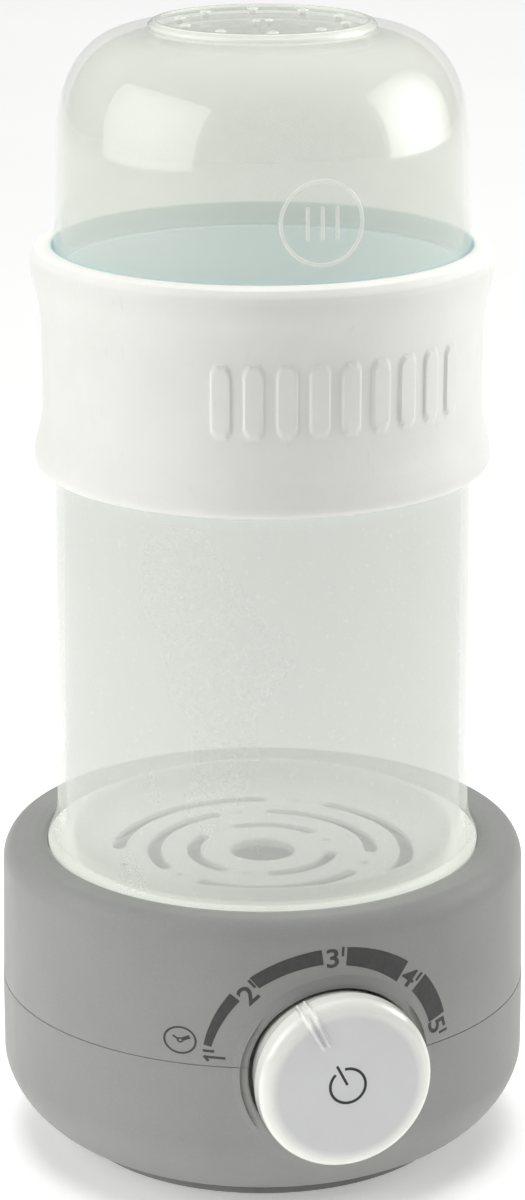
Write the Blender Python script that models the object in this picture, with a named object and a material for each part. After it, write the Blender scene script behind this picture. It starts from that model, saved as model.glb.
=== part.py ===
"""Steam bottle warmer: a round base with a heater and a timer knob, a translucent steam chamber with a
grip ring, a slotted grid and a dome lid. Sizes are in millimetres and are built in metres. The body axis
is Z, the knob faces -Y, and the feet stand on z = 0."""

import math

import bmesh
import bpy
from mathutils import Matrix, Vector

MM = 0.001
GAP = 0.3  # clearance between touching pieces
SEGMENTS = 40  # sides of the large turned pieces
SMALL_SEGMENTS = 12  # sides of pins and feet
SCREW_SEGMENTS = 10

# Base shells
BASE_R = 64.0  # outer radius at the seam
BASE_TOP_R = 63.5  # wall radius where the top corner starts
LOWER_STEP = 0.1  # how far the lower shell stands proud of the upper one
WALL = 2.4  # shell thickness
PLINTH_R = 47.5
COVER_Z = (0.8, 2.6)
LOWER_EDGE = (45.7, COVER_Z[1] + GAP)  # radius and height of the lower shell's bottom edge
LOWER_CORNER_Z, LOWER_POWER = 21.7, 1.7
LIP_THICK = 1.5  # the lower shell's lip, which overlaps the upper shell inside
SEAM_Z = 40.9
TOP_CORNER_Z = 70.5
TOP_R, TOP_Z, TOP_POWER = 59.6, 76.4, 1.8
TOP_LIP = 1.6  # how far the top surface slopes down to the well
WELL_R = 52.8  # the opening that the chamber's skirt stands in
WELL_Z = 67.4  # the ledge that carries the chamber
WELL_THROAT_R = 43.2
LEDGE_UNDER_Z = 65.2
BOTTOM_OPENING_R = 36.0

# Knob and its recess. A "front" is a distance in front of the body axis, along -Y.
KNOB_Z = 38.6
KNOB_R = 20.8
KNOB_FRONT = 71.5
KNOB_TRAVEL = 1.5  # how far a press moves the knob in
KNOB_WALL = 2.2
KNOB_FACE_R = 16.2  # where the flat face turns into the rounded edge
KNOB_EDGE_DEPTH = 4.2
POCKET_R = 21.9
POCKET_CHAMFER = 1.9
POCKET_FLOOR = 56.7
POCKET_BACK = POCKET_FLOOR - WALL
POCKET_WALL = 2.4
CUP_R = POCKET_R + POCKET_WALL
KNOB_BACK = POCKET_FLOOR + KNOB_TRAVEL + 0.5
KNOB_WEB = KNOB_FRONT - 2.4  # inner side of the knob's front wall
POINTER_ANGLE = -24.0  # from straight up, clockwise positive as the user sees it
POINTER_WIDTH, POINTER_HEIGHT = 2.5, 0.55
POINTER_SPAN = (9.8, 61.2)  # radius of its inner end, and front of its end on the knob's side

# Knob mechanism
SHAFT_R = 2.2
SHAFT_BACK = 44.3
BUSH_R, BUSH_FRONT = 4.2, 59.2
NUT_R, NUT_FRONT = 7.0, 59.0
HUB_R = 5.0
HUB_BACK = NUT_FRONT + KNOB_TRAVEL + 0.6
ENCODER_R, ENCODER_CASE = 6.0, 13.0
DIAL_BOARD_FRONT, DIAL_BOARD_BACK = 46.4, 44.8
DIAL_BOARD_WIDTH, DIAL_BOARD_HEIGHT, DIAL_BOARD_HOLE_R = 34.0, 26.0, 3.2
PLUNGER_R, PLUNGER_LENGTH = 2.1, 2.8
PLUNGER_FRONT = SHAFT_BACK - GAP
SWITCH_R, SWITCH_WELL_R, SWITCH_BACK = 5.5, 2.5, 38.0
SWITCH_WELL_FLOOR = PLUNGER_FRONT - PLUNGER_LENGTH - KNOB_TRAVEL - 0.5
SPRING_TURNS, SPRING_R, SPRING_WIRE_R = 5, 8.6, 0.45

# Chamber, ring, grid and lid
CHAMBER_WALL = 2.0
SKIRT_R, SKIRT_Z = 52.3, 75.3
CHAMBER_LOW_R, CHAMBER_LOW_Z = 50.0, 88.0
CHAMBER_TOP_R, CHAMBER_TOP_Z = 48.7, 217.0
CHAMBER_LEDGE_R = 41.0
CHAMBER_LEDGE_Z = (WELL_Z + GAP, 69.4)
RING_Z = (169.6, 222.6)
RING_LOW_R, RING_WAIST_R, RING_LIP_R = 52.3, 52.0, 51.6
RING_BULGE_R = (54.0, 54.5)
GRID_FLOOR_Z = 71.1
GRID_THICK = 1.4
GRID_FLOOR_R, GRID_RIM_R, GRID_RIM_Z = 41.9, 46.2, 78.3
GRID_HOLE_R, DRAIN_R = 7.8, 1.0
SLOT_WIDTH = 3.2
SLOT_RADII = (18.5, 28.2, 37.0)  # outer radius of each ring of slots
# First and last angle of each slot, counted from +X, and the small drain holes between them.
SLOT_SPANS = (((-102, -21), (25, 100), (130, 224)), ((-142, -49), (-21, 72), (97, 195)),
              ((-172, -79), (-48, 48), (72, 164)))
DRAIN_ANGLES = ((6, 115, 241), (-37, 86, 205), (-63, 60, 182))
LID_LOW_R, LID_LOW_Z = 49.1, CHAMBER_TOP_Z + GAP
LID_WALL_R, LID_WALL_Z = 48.2, 244.7
LID_SHOULDER_R, LID_SHOULDER_Z, LID_POWER = 26.4, 273.0, 2.36
PLATEAU_R, LID_TOP_Z = 25.4, 274.5
LID_THICK = 1.6

# Heater stack
DISH_TOP_Z, DISH_FLOOR_Z = 63.0, 58.5
DISH_R, DISH_FLOOR_R, DISH_RIM_R = 42.0, 38.0, 46.0
DISH_THICK = 1.2
DISH_UNDER_Z = DISH_FLOOR_Z - DISH_THICK
SEAL_R = 41.6
ELEMENT_R, ELEMENT_TUBE_R = 27.0, 3.2
ELEMENT_FIRST = 115.0  # angle of its first end; it mirrors about the Y axis
ELEMENT_TAIL = 10.0  # how far both ends turn down
ELEMENT_Z = DISH_UNDER_Z - GAP - ELEMENT_TUBE_R
BRACKET_Z = (59.8, 61.4)
BRACKET_R = (43.4, 46.2)
BRACKET_EAR_R = 4.2
HEATER_SCREW_ANGLES = (90, 210, 330)
HEATER_SCREW_RADIUS = 49.6
HEATER_BOSS_R = 3.4
HEATER_SCREW_TOP_Z = 64.2
THERMOSTAT_R, THERMOSTAT_HEIGHT = (8.0, 6.5), (3.5, 9.0)
FUSE_HALF, FUSE_R, FUSE_LEAD_R, FUSE_Y = 7.0, 2.2, 1.2, 16.5

# Fasteners and feet
SCREW_R, SCREW_HEAD_R = 1.5, 2.9
COVER_SCREW_ANGLES = (0, 90, 180, 270)
COVER_SCREW_RADIUS = 41.0
COVER_SCREW_TIP_Z = 12.2
COVER_BOSS_R, COVER_BOSS_Z = 3.6, 14.0
FOOT_ANGLES = (45, 135, 225, 315)
FOOT_RADIUS, FOOT_R, FOOT_HEIGHT = 38.5, 5.0, 1.3
FOOT_RECESS = 0.8

# Electronics
BOARD_SIZE, BOARD_Y, BOARD_Z = (50.0, 52.0, 1.6), 4.0, 12.0
BOARD_UNDER = BOARD_Z - BOARD_SIZE[2] / 2
PART_Z = BOARD_Z + BOARD_SIZE[2] / 2 + GAP  # where the parts on the board stand
BOARD_SCREWS = ((20, -17), (-20, -17), (20, 25), (-20, 25))
BOARD_SCREW_R, BOARD_SCREW_HEAD_R, BOARD_POST_R = 1.1, 2.2, 3.0
RELAY_SIZE, RELAY_PLACE = (15.0, 19.0, 15.0), (-13.0, 4.0)
TERMINAL_SIZE, TERMINAL_PLACE = (20.0, 9.0, 10.0), (5.0, 22.0)
CAPACITOR_R, CAPACITOR_HEIGHT, CAPACITOR_PLACE = 5.0, 13.6, (12.0, 2.0)
BUZZER_R, BUZZER_HEIGHT, BUZZER_PLACE = 6.0, 7.0, (-8.0, -14.0)
BUZZER_HOLE_R = 1.2
LEAD_R = 1.0
DIAL_LEAD_X = 10.0
GLAND_Z = 27.0
GLAND_BORE_R, GLAND_R, GLAND_FLANGE_R = 3.3, 6.0, 7.6

ALONG_Y = Matrix.Rotation(math.radians(90), 4, "X")  # turns +Z onto -Y


def clear_scene():
    for obj in list(bpy.data.objects):
        bpy.data.objects.remove(obj, do_unlink=True)


def material(name, colour, roughness, metallic=0.0, alpha=1.0):
    """A Principled material; pieces that share a name share the material."""
    found = bpy.data.materials.get(name)
    if found:
        return found
    made = bpy.data.materials.new(name)
    made.use_nodes = True
    shader = made.node_tree.nodes["Principled BSDF"]
    shader.inputs["Base Color"].default_value = (*colour, 1.0)
    shader.inputs["Roughness"].default_value = roughness
    shader.inputs["Metallic"].default_value = metallic
    shader.inputs["Alpha"].default_value = alpha
    made.diffuse_color = (*colour, alpha)
    return made


def grey_shell():
    return material("grey_shell", (0.30, 0.30, 0.29), 0.55)


def dark_plastic():
    return material("dark_plastic", (0.12, 0.12, 0.12), 0.6)


def frosted():
    return material("frosted_plastic", (0.80, 0.83, 0.79), 0.25, alpha=0.45)


def white_silicone():
    return material("white_silicone", (0.88, 0.87, 0.82), 0.6)


def white_plastic():
    return material("white_plastic", (0.86, 0.87, 0.84), 0.35)


def steel():
    return material("steel", (0.62, 0.62, 0.61), 0.35, metallic=1.0)


def brass():
    return material("brass", (0.72, 0.55, 0.28), 0.35, metallic=1.0)


def black_rubber():
    return material("black_rubber", (0.06, 0.06, 0.06), 0.85)


def circuit_green():
    return material("circuit_green", (0.05, 0.22, 0.12), 0.5)


def cable_red():
    return material("cable_red", (0.45, 0.06, 0.05), 0.5)


def polar(radius, degrees, z=0.0):
    angle = math.radians(degrees)
    return Vector((radius * math.cos(angle), radius * math.sin(angle), z))


def corner(start, end, power, steps, upright_first=True):
    """Superellipse arc from start to end, leaving start upright (or level when upright_first is False)."""
    points = []
    for step in range(steps + 1):
        turn = math.pi / 2 * step / steps
        near, far = math.cos(turn) ** (2 / power), math.sin(turn) ** (2 / power)
        across, along = (1 - near, far) if upright_first else (far, 1 - near)
        points.append((start[0] + (end[0] - start[0]) * across, start[1] + (end[1] - start[1]) * along))
    return points


def add_object(name, bm, look, location=(0, 0, 0), smooth_angle=32):
    """Makes a named object from a bmesh in millimetres whose origin goes to location."""
    bmesh.ops.remove_doubles(bm, verts=bm.verts, dist=1e-4)
    bmesh.ops.recalc_face_normals(bm, faces=bm.faces)
    bmesh.ops.scale(bm, vec=(MM, MM, MM), verts=bm.verts)
    mesh = bpy.data.meshes.new(name)
    bm.to_mesh(mesh)
    bm.free()
    mesh.shade_smooth()
    mesh.set_sharp_from_angle(angle=math.radians(smooth_angle))
    obj = bpy.data.objects.new(name, mesh)
    obj.location = Vector(location) * MM
    obj.data.materials.append(look)
    bpy.context.scene.collection.objects.link(obj)
    return obj


def turned_bmesh(outline, segments, ring=False):
    """Turns a closed (radius, z) outline about Z. A ring outline never reaches the axis."""
    bm = bmesh.new()
    rows = []
    for radius, z in outline:
        if radius < 1e-6:
            rows.append([bm.verts.new((0, 0, z))])
        else:
            rows.append([bm.verts.new(polar(radius, 360 * k / segments, z)) for k in range(segments)])
    pairs = list(zip(rows, rows[1:]))
    if ring:
        pairs.append((rows[-1], rows[0]))
    for low, high in pairs:
        for k in range(segments):
            after = (k + 1) % segments
            corners = [low[k % len(low)], low[after % len(low)], high[after % len(high)], high[k % len(high)]]
            face = list(dict.fromkeys(corners))
            if len(face) > 2:
                bm.faces.new(face)
    return bm


def turned(name, outline, look, segments=SEGMENTS, ring=True, location=(0, 0, 0), along_y=False):
    """A turned piece. With along_y its axis runs along -Y and its outline's z is measured that way."""
    bm = turned_bmesh(outline, segments, ring)
    if along_y:
        bm.transform(ALONG_Y)
    return add_object(name, bm, look, location)


def rod_bmesh(radius, low, high, segments=SMALL_SEGMENTS):
    return turned_bmesh([(0, low), (radius, low), (radius, high), (0, high)], segments)


def box_bmesh(size, centre=(0, 0, 0)):
    bm = bmesh.new()
    bmesh.ops.create_cube(bm, size=1.0)
    bmesh.ops.scale(bm, vec=size, verts=bm.verts)
    bmesh.ops.translate(bm, vec=centre, verts=bm.verts)
    return bm


def extruded_bmesh(outline, low, high):
    """Extrudes an (x, y) outline from z = low to z = high."""
    bm = bmesh.new()
    bottom = bm.faces.new([bm.verts.new((x, y, low)) for x, y in outline])
    made = bmesh.ops.extrude_face_region(bm, geom=[bottom])["geom"]
    top = [item for item in made if isinstance(item, bmesh.types.BMVert)]
    bmesh.ops.translate(bm, vec=(0, 0, high - low), verts=top)
    return bm


def cutter(name, *pieces):
    """A hidden helper made of one or more bmeshes, for a Boolean modifier."""
    joined = bmesh.new()
    for piece in pieces:
        mesh = bpy.data.meshes.new("piece")
        piece.to_mesh(mesh)
        piece.free()
        joined.from_mesh(mesh)
        bpy.data.meshes.remove(mesh)
    obj = add_object(name, joined, dark_plastic())
    obj.hide_render = True
    obj.display_type = "WIRE"
    return obj


def boolean(obj, other, operation):
    modifier = obj.modifiers.new(f"{operation.lower()}_{other.name}", "BOOLEAN")
    modifier.operation = operation
    modifier.solver = "EXACT"
    modifier.object = other


def at(bm, x=0.0, y=0.0, z=0.0):
    bmesh.ops.translate(bm, vec=(x, y, z), verts=bm.verts)
    return bm


def along_y_at_knob(bm):
    """Turns a bmesh built along +Z so that it runs along -Y on the knob's axis."""
    bm.transform(Matrix.Translation((0, 0, KNOB_Z)) @ ALONG_Y)
    return bm


# Base shells


def upper_outline():
    """Outer surface of the upper shell, from the seam to the inner edge of the top."""
    points = [(BASE_R, SEAM_Z + GAP / 2)]
    points += corner((BASE_TOP_R, TOP_CORNER_Z), (TOP_R, TOP_Z), TOP_POWER, 5)
    return points + [(WELL_R + 0.7, TOP_Z - TOP_LIP / 4), (WELL_R - 1, TOP_Z - TOP_LIP)]


def lower_outline():
    """Outer surface of the lower shell, from the seam down to its bottom edge."""
    lower_r = BASE_R + LOWER_STEP
    return [(lower_r, SEAM_Z - GAP / 2)] + corner((lower_r, LOWER_CORNER_Z), LOWER_EDGE, LOWER_POWER, 7)


def wall_front(radius, turn):
    """Front of the round wall at a point of the recess's edge, in the knob's polar coordinates."""
    return math.sqrt(BASE_R**2 - (radius * math.sin(turn)) ** 2)


def pocket_cutter():
    """The knob recess: a round hole whose chamfer follows the curve of the wall."""
    bm = bmesh.new()
    # Each ring has a radius and a depth below the wall; the first one lies on the recess's floor.
    steps = ((POCKET_R, None), (POCKET_R, POCKET_CHAMFER), (POCKET_R + 2 * POCKET_CHAMFER, -POCKET_CHAMFER))
    rings = []
    for radius, depth in steps:
        ring = []
        for k in range(SEGMENTS):
            turn = 2 * math.pi * (k + 0.5) / SEGMENTS
            front = POCKET_FLOOR
            if depth is not None:
                front = wall_front(POCKET_R + POCKET_CHAMFER, turn) - depth
            ring.append(bm.verts.new((radius * math.sin(turn), -front, KNOB_Z + radius * math.cos(turn))))
        rings.append(ring)
    for near, far in zip(rings, rings[1:]):
        for k in range(SEGMENTS):
            after = (k + 1) % SEGMENTS
            bm.faces.new((near[k], near[after], far[after], far[k]))
    bm.faces.new(rings[0])
    middle = bm.verts.new((0, rings[-1][0].co.y, KNOB_Z))
    for k in range(SEGMENTS):
        bm.faces.new((rings[-1][k], rings[-1][(k + 1) % SEGMENTS], middle))
    return cutter("pocket_cutter", bm)


def pocket_cup():
    """Material kept behind the recess, inside both shells."""
    return cutter("pocket_cup", along_y_at_knob(rod_bmesh(CUP_R, POCKET_BACK, BASE_R + 8, SEGMENTS)))


def pins(radius, low, high, circle, angles, segments=SMALL_SEGMENTS):
    """Equal round pins on a circle about the body axis."""
    return [at(rod_bmesh(radius, low, high, segments), *polar(circle, angle)) for angle in angles]


def upper_housing(pocket, cup, bush_hole):
    seam = SEAM_Z + GAP / 2
    outline = [(0, seam)] + upper_outline() + [(0, TOP_Z - TOP_LIP)]
    upper = turned("upper_housing", outline, grey_shell(), ring=False)
    hollow = [(0, SEAM_Z - 5), (BASE_R - WALL, SEAM_Z - 5)]
    hollow += corner((BASE_TOP_R - WALL, TOP_CORNER_Z - 1), (TOP_R - 1, TOP_Z - WALL), TOP_POWER, 3)
    hollow += [(WELL_R + WALL, TOP_Z - WALL), (WELL_R + WALL, LEDGE_UNDER_Z), (WELL_THROAT_R, LEDGE_UNDER_Z),
               (WELL_THROAT_R, WELL_Z), (WELL_R, WELL_Z), (WELL_R, TOP_Z + 5), (0, TOP_Z + 5)]
    hollow_cutter = cutter("upper_hollow", turned_bmesh(hollow, SEGMENTS))
    bosses = pins(HEATER_BOSS_R, BRACKET_Z[1] + GAP, LEDGE_UNDER_Z + 1, HEATER_SCREW_RADIUS,
                  HEATER_SCREW_ANGLES)
    bores = pins(SCREW_R + GAP, BRACKET_Z[1] - 2, HEATER_SCREW_TOP_Z + GAP, HEATER_SCREW_RADIUS,
                 HEATER_SCREW_ANGLES)
    boolean(hollow_cutter, cup, "DIFFERENCE")
    boolean(hollow_cutter, cutter("heater_bosses", *bosses), "DIFFERENCE")
    boolean(upper, hollow_cutter, "DIFFERENCE")
    boolean(upper, cutter("heater_boss_bores", *bores), "DIFFERENCE")
    boolean(upper, pocket, "DIFFERENCE")
    boolean(upper, bush_hole, "DIFFERENCE")


def lower_housing(pocket, cup, bush_hole):
    lip_r, lip_top = BASE_R - WALL - GAP, SEAM_Z + 3
    wall_r = lip_r - LIP_THICK
    floor_z = LOWER_EDGE[1] + WALL
    outline = [(0, lip_top), (lip_r, lip_top), (lip_r, SEAM_Z - GAP / 2)] + lower_outline()
    lower = turned("lower_housing", outline + [(0, LOWER_EDGE[1])], grey_shell(), ring=False)
    hollow = [(0, lip_top + 5), (wall_r, lip_top + 5)]
    hollow += corner((wall_r, LOWER_CORNER_Z), (LOWER_EDGE[0] - 0.5, floor_z), LOWER_POWER, 4)
    hollow += [(BOTTOM_OPENING_R, floor_z), (BOTTOM_OPENING_R, LOWER_EDGE[1] - 5), (0, LOWER_EDGE[1] - 5)]
    hollow_cutter = cutter("lower_hollow", turned_bmesh(hollow, SEGMENTS))
    bosses = pins(COVER_BOSS_R, LOWER_EDGE[1] - 1, COVER_BOSS_Z, COVER_SCREW_RADIUS, COVER_SCREW_ANGLES)
    bores = pins(SCREW_R + GAP, LOWER_EDGE[1] - 2, COVER_SCREW_TIP_Z + 0.4, COVER_SCREW_RADIUS,
                 COVER_SCREW_ANGLES)
    boolean(hollow_cutter, cup, "DIFFERENCE")
    boolean(hollow_cutter, cutter("cover_bosses", *bosses), "DIFFERENCE")
    boolean(lower, hollow_cutter, "DIFFERENCE")
    boolean(lower, cutter("cover_boss_bores", *bores), "DIFFERENCE")
    boolean(lower, pocket, "DIFFERENCE")
    boolean(lower, bush_hole, "DIFFERENCE")
    gland_hole = rod_bmesh(GLAND_R + GAP, -BASE_R - 5, -BASE_R + 5)
    gland_hole.transform(Matrix.Translation((0, 0, GLAND_Z)) @ ALONG_Y)
    boolean(lower, cutter("gland_hole", gland_hole), "DIFFERENCE")
    # The cup's upper half belongs to the upper shell, so the lower shell stops at the seam there.
    room_height = 12
    room_middle = (0, 4 - BASE_R, SEAM_Z - GAP / 2 + room_height / 2)
    seam_room = box_bmesh((2 * CUP_R + 4, 20, room_height), room_middle)
    boolean(lower, cutter("seam_room", seam_room), "DIFFERENCE")


def base_shells():
    pocket, cup = pocket_cutter(), pocket_cup()
    bush_rod = rod_bmesh(BUSH_R + GAP, POCKET_BACK - 4, POCKET_FLOOR + 3)
    bush_hole = cutter("bush_hole", along_y_at_knob(bush_rod))
    upper_housing(pocket, cup, bush_hole)
    lower_housing(pocket, cup, bush_hole)


def cover_and_feet():
    low, high = COVER_Z
    edge = 0.6
    outline = [(0, low), (PLINTH_R - edge, low), (PLINTH_R, low + edge), (PLINTH_R, high), (0, high)]
    cover = turned("bottom_cover", outline, dark_plastic(), ring=False)
    head_room = [(0, low - 1), (SCREW_HEAD_R + GAP, low - 1), (SCREW_HEAD_R + GAP, low + 0.5),
                 (SCREW_R + GAP, low + 1.6), (SCREW_R + GAP, high + 1), (0, high + 1)]
    cuts = [at(turned_bmesh(head_room, SMALL_SEGMENTS), *polar(COVER_SCREW_RADIUS, angle))
            for angle in COVER_SCREW_ANGLES]
    cuts += pins(FOOT_R + GAP, low - 1, low + FOOT_RECESS, FOOT_RADIUS, FOOT_ANGLES)
    boolean(cover, cutter("cover_cuts", *cuts), "DIFFERENCE")
    tip = COVER_SCREW_TIP_Z
    for count, angle in enumerate(COVER_SCREW_ANGLES, 1):
        outline = [(0, low + 0.1), (SCREW_HEAD_R, low + 0.1), (SCREW_HEAD_R, low + 0.5), (SCREW_R, low + 1.5),
                   (SCREW_R, tip - 0.7), (0.4, tip), (0, tip)]
        turned(f"cover_screw_{count}", outline, steel(), SCREW_SEGMENTS, ring=False,
               location=polar(COVER_SCREW_RADIUS, angle))
    for count, angle in enumerate(FOOT_ANGLES, 1):
        outline = [(0, 0), (FOOT_R - 0.4, 0), (FOOT_R, 0.4), (FOOT_R, FOOT_HEIGHT), (0, FOOT_HEIGHT)]
        turned(f"rubber_foot_{count}", outline, black_rubber(), SMALL_SEGMENTS, ring=False,
               location=polar(FOOT_RADIUS, angle))


# Chamber, ring, grid and lid


def chamber_radius(z):
    """Outer radius of the chamber's wall, which narrows upward."""
    part = (z - CHAMBER_LOW_Z) / (CHAMBER_TOP_Z - CHAMBER_LOW_Z)
    return CHAMBER_LOW_R + (CHAMBER_TOP_R - CHAMBER_LOW_R) * part


def chamber():
    ledge_low, ledge_high = CHAMBER_LEDGE_Z
    inner_low_r = CHAMBER_LOW_R - CHAMBER_WALL
    outer = [(SKIRT_R - 1.2, ledge_low), (SKIRT_R - 0.2, ledge_low + 1.2), (SKIRT_R, SKIRT_Z),
             (SKIRT_R - 0.5, SKIRT_Z + 1.6), (CHAMBER_LOW_R + 0.4, SKIRT_Z + 5.2),
             (CHAMBER_LOW_R, CHAMBER_LOW_Z), (CHAMBER_TOP_R, CHAMBER_TOP_Z)]
    inner = [(CHAMBER_TOP_R - CHAMBER_WALL, CHAMBER_TOP_Z), (inner_low_r, CHAMBER_LOW_Z),
             (inner_low_r, ledge_high), (CHAMBER_LEDGE_R, ledge_high), (CHAMBER_LEDGE_R, ledge_low)]
    turned("chamber_tube", outer + inner, frosted())


def grip_ring():
    low, high = RING_Z
    low_bulge_r, high_bulge_r = RING_BULGE_R
    lid_room = LID_LOW_R + GAP
    step_z = CHAMBER_TOP_Z - 0.4
    outer = [(RING_LOW_R, low), (low_bulge_r - 0.6, low + 0.9), (low_bulge_r, low + 3.6),
             (low_bulge_r - 0.8, low + 7.8), (RING_WAIST_R, low + 14), (RING_WAIST_R, high - 24),
             (RING_WAIST_R + 1.1, high - 12), (high_bulge_r, high - 4.6), (high_bulge_r - 0.6, high - 1.8),
             (RING_LIP_R, high), (lid_room, high)]
    inner = [(lid_room, step_z), (chamber_radius(step_z) + GAP, step_z), (chamber_radius(low) + GAP, low)]
    turned("grip_ring", outer + inner, white_silicone())


def slot_bmesh(outer_radius, first, last, low, high):
    """Curved slot with round ends, centred SLOT_WIDTH / 2 inside outer_radius."""
    half = SLOT_WIDTH / 2
    middle = outer_radius - half
    end_turn = math.degrees(half / middle)
    first, last = first + end_turn, last - end_turn
    steps = max(3, round((last - first) / 20))
    outline = []
    for radius, near, far, side in ((middle + half, first, last, 1), (middle - half, last, first, -1)):
        for step in range(steps + 1):
            outline.append(polar(radius, near + (far - near) * step / steps).to_2d())
        tip = polar(middle, far)
        for turn in (60, 120):
            sweep = far + (turn if side > 0 else turn + 180)
            outline.append((tip + polar(half, sweep)).to_2d())
    return extruded_bmesh(outline, low, high)


def steam_grid():
    low, high = GRID_FLOOR_Z - GRID_THICK, GRID_FLOOR_Z
    collar_r, collar_z = GRID_HOLE_R + 1.4, low - 1.2
    outline = [(GRID_HOLE_R, high), (GRID_HOLE_R, collar_z), (collar_r, collar_z), (collar_r, low),
               (GRID_FLOOR_R + 1.2, low), (GRID_RIM_R - 0.2, GRID_RIM_Z - 5.5), (GRID_RIM_R, GRID_RIM_Z),
               (GRID_RIM_R - 1.2, GRID_RIM_Z), (GRID_RIM_R - 1.8, GRID_RIM_Z - 4.6), (GRID_FLOOR_R, high)]
    grid = turned("steam_grid", outline, white_plastic())
    cuts = []
    for outer_radius, spans, drains in zip(SLOT_RADII, SLOT_SPANS, DRAIN_ANGLES):
        cuts += [slot_bmesh(outer_radius, first, last, low - 2, high + 2) for first, last in spans]
        cuts += pins(DRAIN_R, low - 2, high + 2, outer_radius - SLOT_WIDTH / 2, drains, 6)
    boolean(grid, cutter("grid_slots", *cuts), "DIFFERENCE")


def dome_lid():
    outer = [(LID_LOW_R, LID_LOW_Z)]
    outer += corner((LID_WALL_R, LID_WALL_Z), (LID_SHOULDER_R, LID_SHOULDER_Z), LID_POWER, 7)
    outer += [(PLATEAU_R, LID_TOP_Z - 0.6), (PLATEAU_R - 0.7, LID_TOP_Z), (0, LID_TOP_Z)]
    shoulder = corner((LID_WALL_R - LID_THICK, LID_WALL_Z - 1), (LID_SHOULDER_R, LID_SHOULDER_Z - LID_THICK),
                      LID_POWER, 5)
    inner = [(0, LID_TOP_Z - LID_THICK), (PLATEAU_R - LID_THICK, LID_TOP_Z - LID_THICK)] + shoulder[::-1]
    inner += [(LID_LOW_R - LID_THICK, LID_LOW_Z)]
    turned("dome_lid", outer + inner, frosted())


# Heater stack


def heating_plate():
    """The metal dish that the water is poured on."""
    rim_under = DISH_TOP_Z - DISH_THICK
    outline = [(0, DISH_FLOOR_Z), (DISH_FLOOR_R - 2, DISH_FLOOR_Z), (DISH_FLOOR_R, DISH_FLOOR_Z + 0.6),
               (DISH_R, DISH_TOP_Z), (DISH_RIM_R, DISH_TOP_Z), (DISH_RIM_R, rim_under),
               (DISH_R + 0.6, rim_under), (DISH_FLOOR_R + 0.6, DISH_UNDER_Z), (0, DISH_UNDER_Z)]
    turned("heating_plate", outline, steel(), ring=False)


def plate_seal():
    low, high = DISH_TOP_Z + GAP, LEDGE_UNDER_Z - GAP
    outline = [(SEAL_R, low), (DISH_RIM_R, low), (DISH_RIM_R, high), (SEAL_R + 2.8, high - 0.3),
               (SEAL_R + 1.4, high), (SEAL_R, high)]
    turned("plate_seal", outline, white_silicone(), 32)


def heater_bracket():
    """The ring that clamps the dish up against its seal, with three screwed ears."""
    low, high = BRACKET_Z
    near, far = BRACKET_R
    bracket = turned("heater_bracket", [(near, low), (far, low), (far, high), (near, high)], steel(), 24)
    ears = pins(BRACKET_EAR_R, low, high, HEATER_SCREW_RADIUS, HEATER_SCREW_ANGLES)
    for ear, angle in zip(ears, HEATER_SCREW_ANGLES):
        arm = box_bmesh((4.0, 6.4, high - low), (HEATER_SCREW_RADIUS - 3, 0, (low + high) / 2))
        arm.transform(Matrix.Rotation(math.radians(angle), 4, "Z"))
        boolean(bracket, cutter(f"bracket_arm_{angle}", arm), "UNION")
        boolean(bracket, cutter(f"bracket_ear_{angle}", ear), "UNION")
    holes = pins(SCREW_R + GAP, low - 1, high + 1, HEATER_SCREW_RADIUS, HEATER_SCREW_ANGLES)
    boolean(bracket, cutter("bracket_holes", *holes), "DIFFERENCE")
    for count, angle in enumerate(HEATER_SCREW_ANGLES, 1):
        outline = [(0, low - 2.1), (SCREW_HEAD_R - 0.6, low - 2.1), (SCREW_HEAD_R, low - 1.4),
                   (SCREW_HEAD_R, low - GAP), (SCREW_R, low - GAP), (SCREW_R, HEATER_SCREW_TOP_Z),
                   (0, HEATER_SCREW_TOP_Z)]
        turned(f"heater_screw_{count}", outline, steel(), SCREW_SEGMENTS, ring=False,
               location=polar(HEATER_SCREW_RADIUS, angle))


def heating_element():
    """A round sheathed tube, bent to a C, whose ends turn down to the leads."""
    sweep = 360 - 2 * (ELEMENT_FIRST - 90)
    loop = [polar(ELEMENT_R, ELEMENT_FIRST + sweep * step / 20, ELEMENT_Z) for step in range(21)]
    tails = [[point - Vector((0, 0, drop)) for drop in (ELEMENT_TAIL, 0.45 * ELEMENT_TAIL)]
             for point in (loop[0], loop[-1])]
    tube("heating_element", tails[0] + loop + tails[1][::-1], ELEMENT_TUBE_R, steel(), 1)


def thermostat_and_fuse():
    top = DISH_UNDER_Z - GAP
    flange_r, body_r = THERMOSTAT_R
    flange, height = THERMOSTAT_HEIGHT
    outline = [(0, top), (flange_r, top), (flange_r, top - flange), (body_r, top - flange),
               (body_r, top - height), (0, top - height)]
    turned("thermostat", outline, brass(), 24, ring=False)
    shoulder = FUSE_HALF - 1.5
    fuse = turned_bmesh([(0, -FUSE_HALF), (FUSE_LEAD_R, -FUSE_HALF), (FUSE_R, -shoulder), (FUSE_R, shoulder),
                         (FUSE_LEAD_R, FUSE_HALF), (0, FUSE_HALF)], SMALL_SEGMENTS)
    fuse.transform(Matrix.Rotation(math.radians(90), 4, "Y"))
    add_object("thermal_fuse", fuse, white_plastic(), location=(0, FUSE_Y, top - FUSE_R - 0.1))


def tube(name, points, radius, look, resolution=2):
    """A round wire or pipe through the points, with closed ends."""
    curve = bpy.data.curves.new(name, "CURVE")
    curve.dimensions = "3D"
    curve.bevel_depth = radius * MM
    curve.bevel_resolution = resolution
    curve.use_fill_caps = True
    spline = curve.splines.new("POLY")
    spline.points.add(len(points) - 1)
    for knot, point in zip(spline.points, points):
        knot.co = (*(Vector(point) * MM), 1.0)
    obj = bpy.data.objects.new(name, curve)
    obj.data.materials.append(look)
    bpy.context.scene.collection.objects.link(obj)


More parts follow.
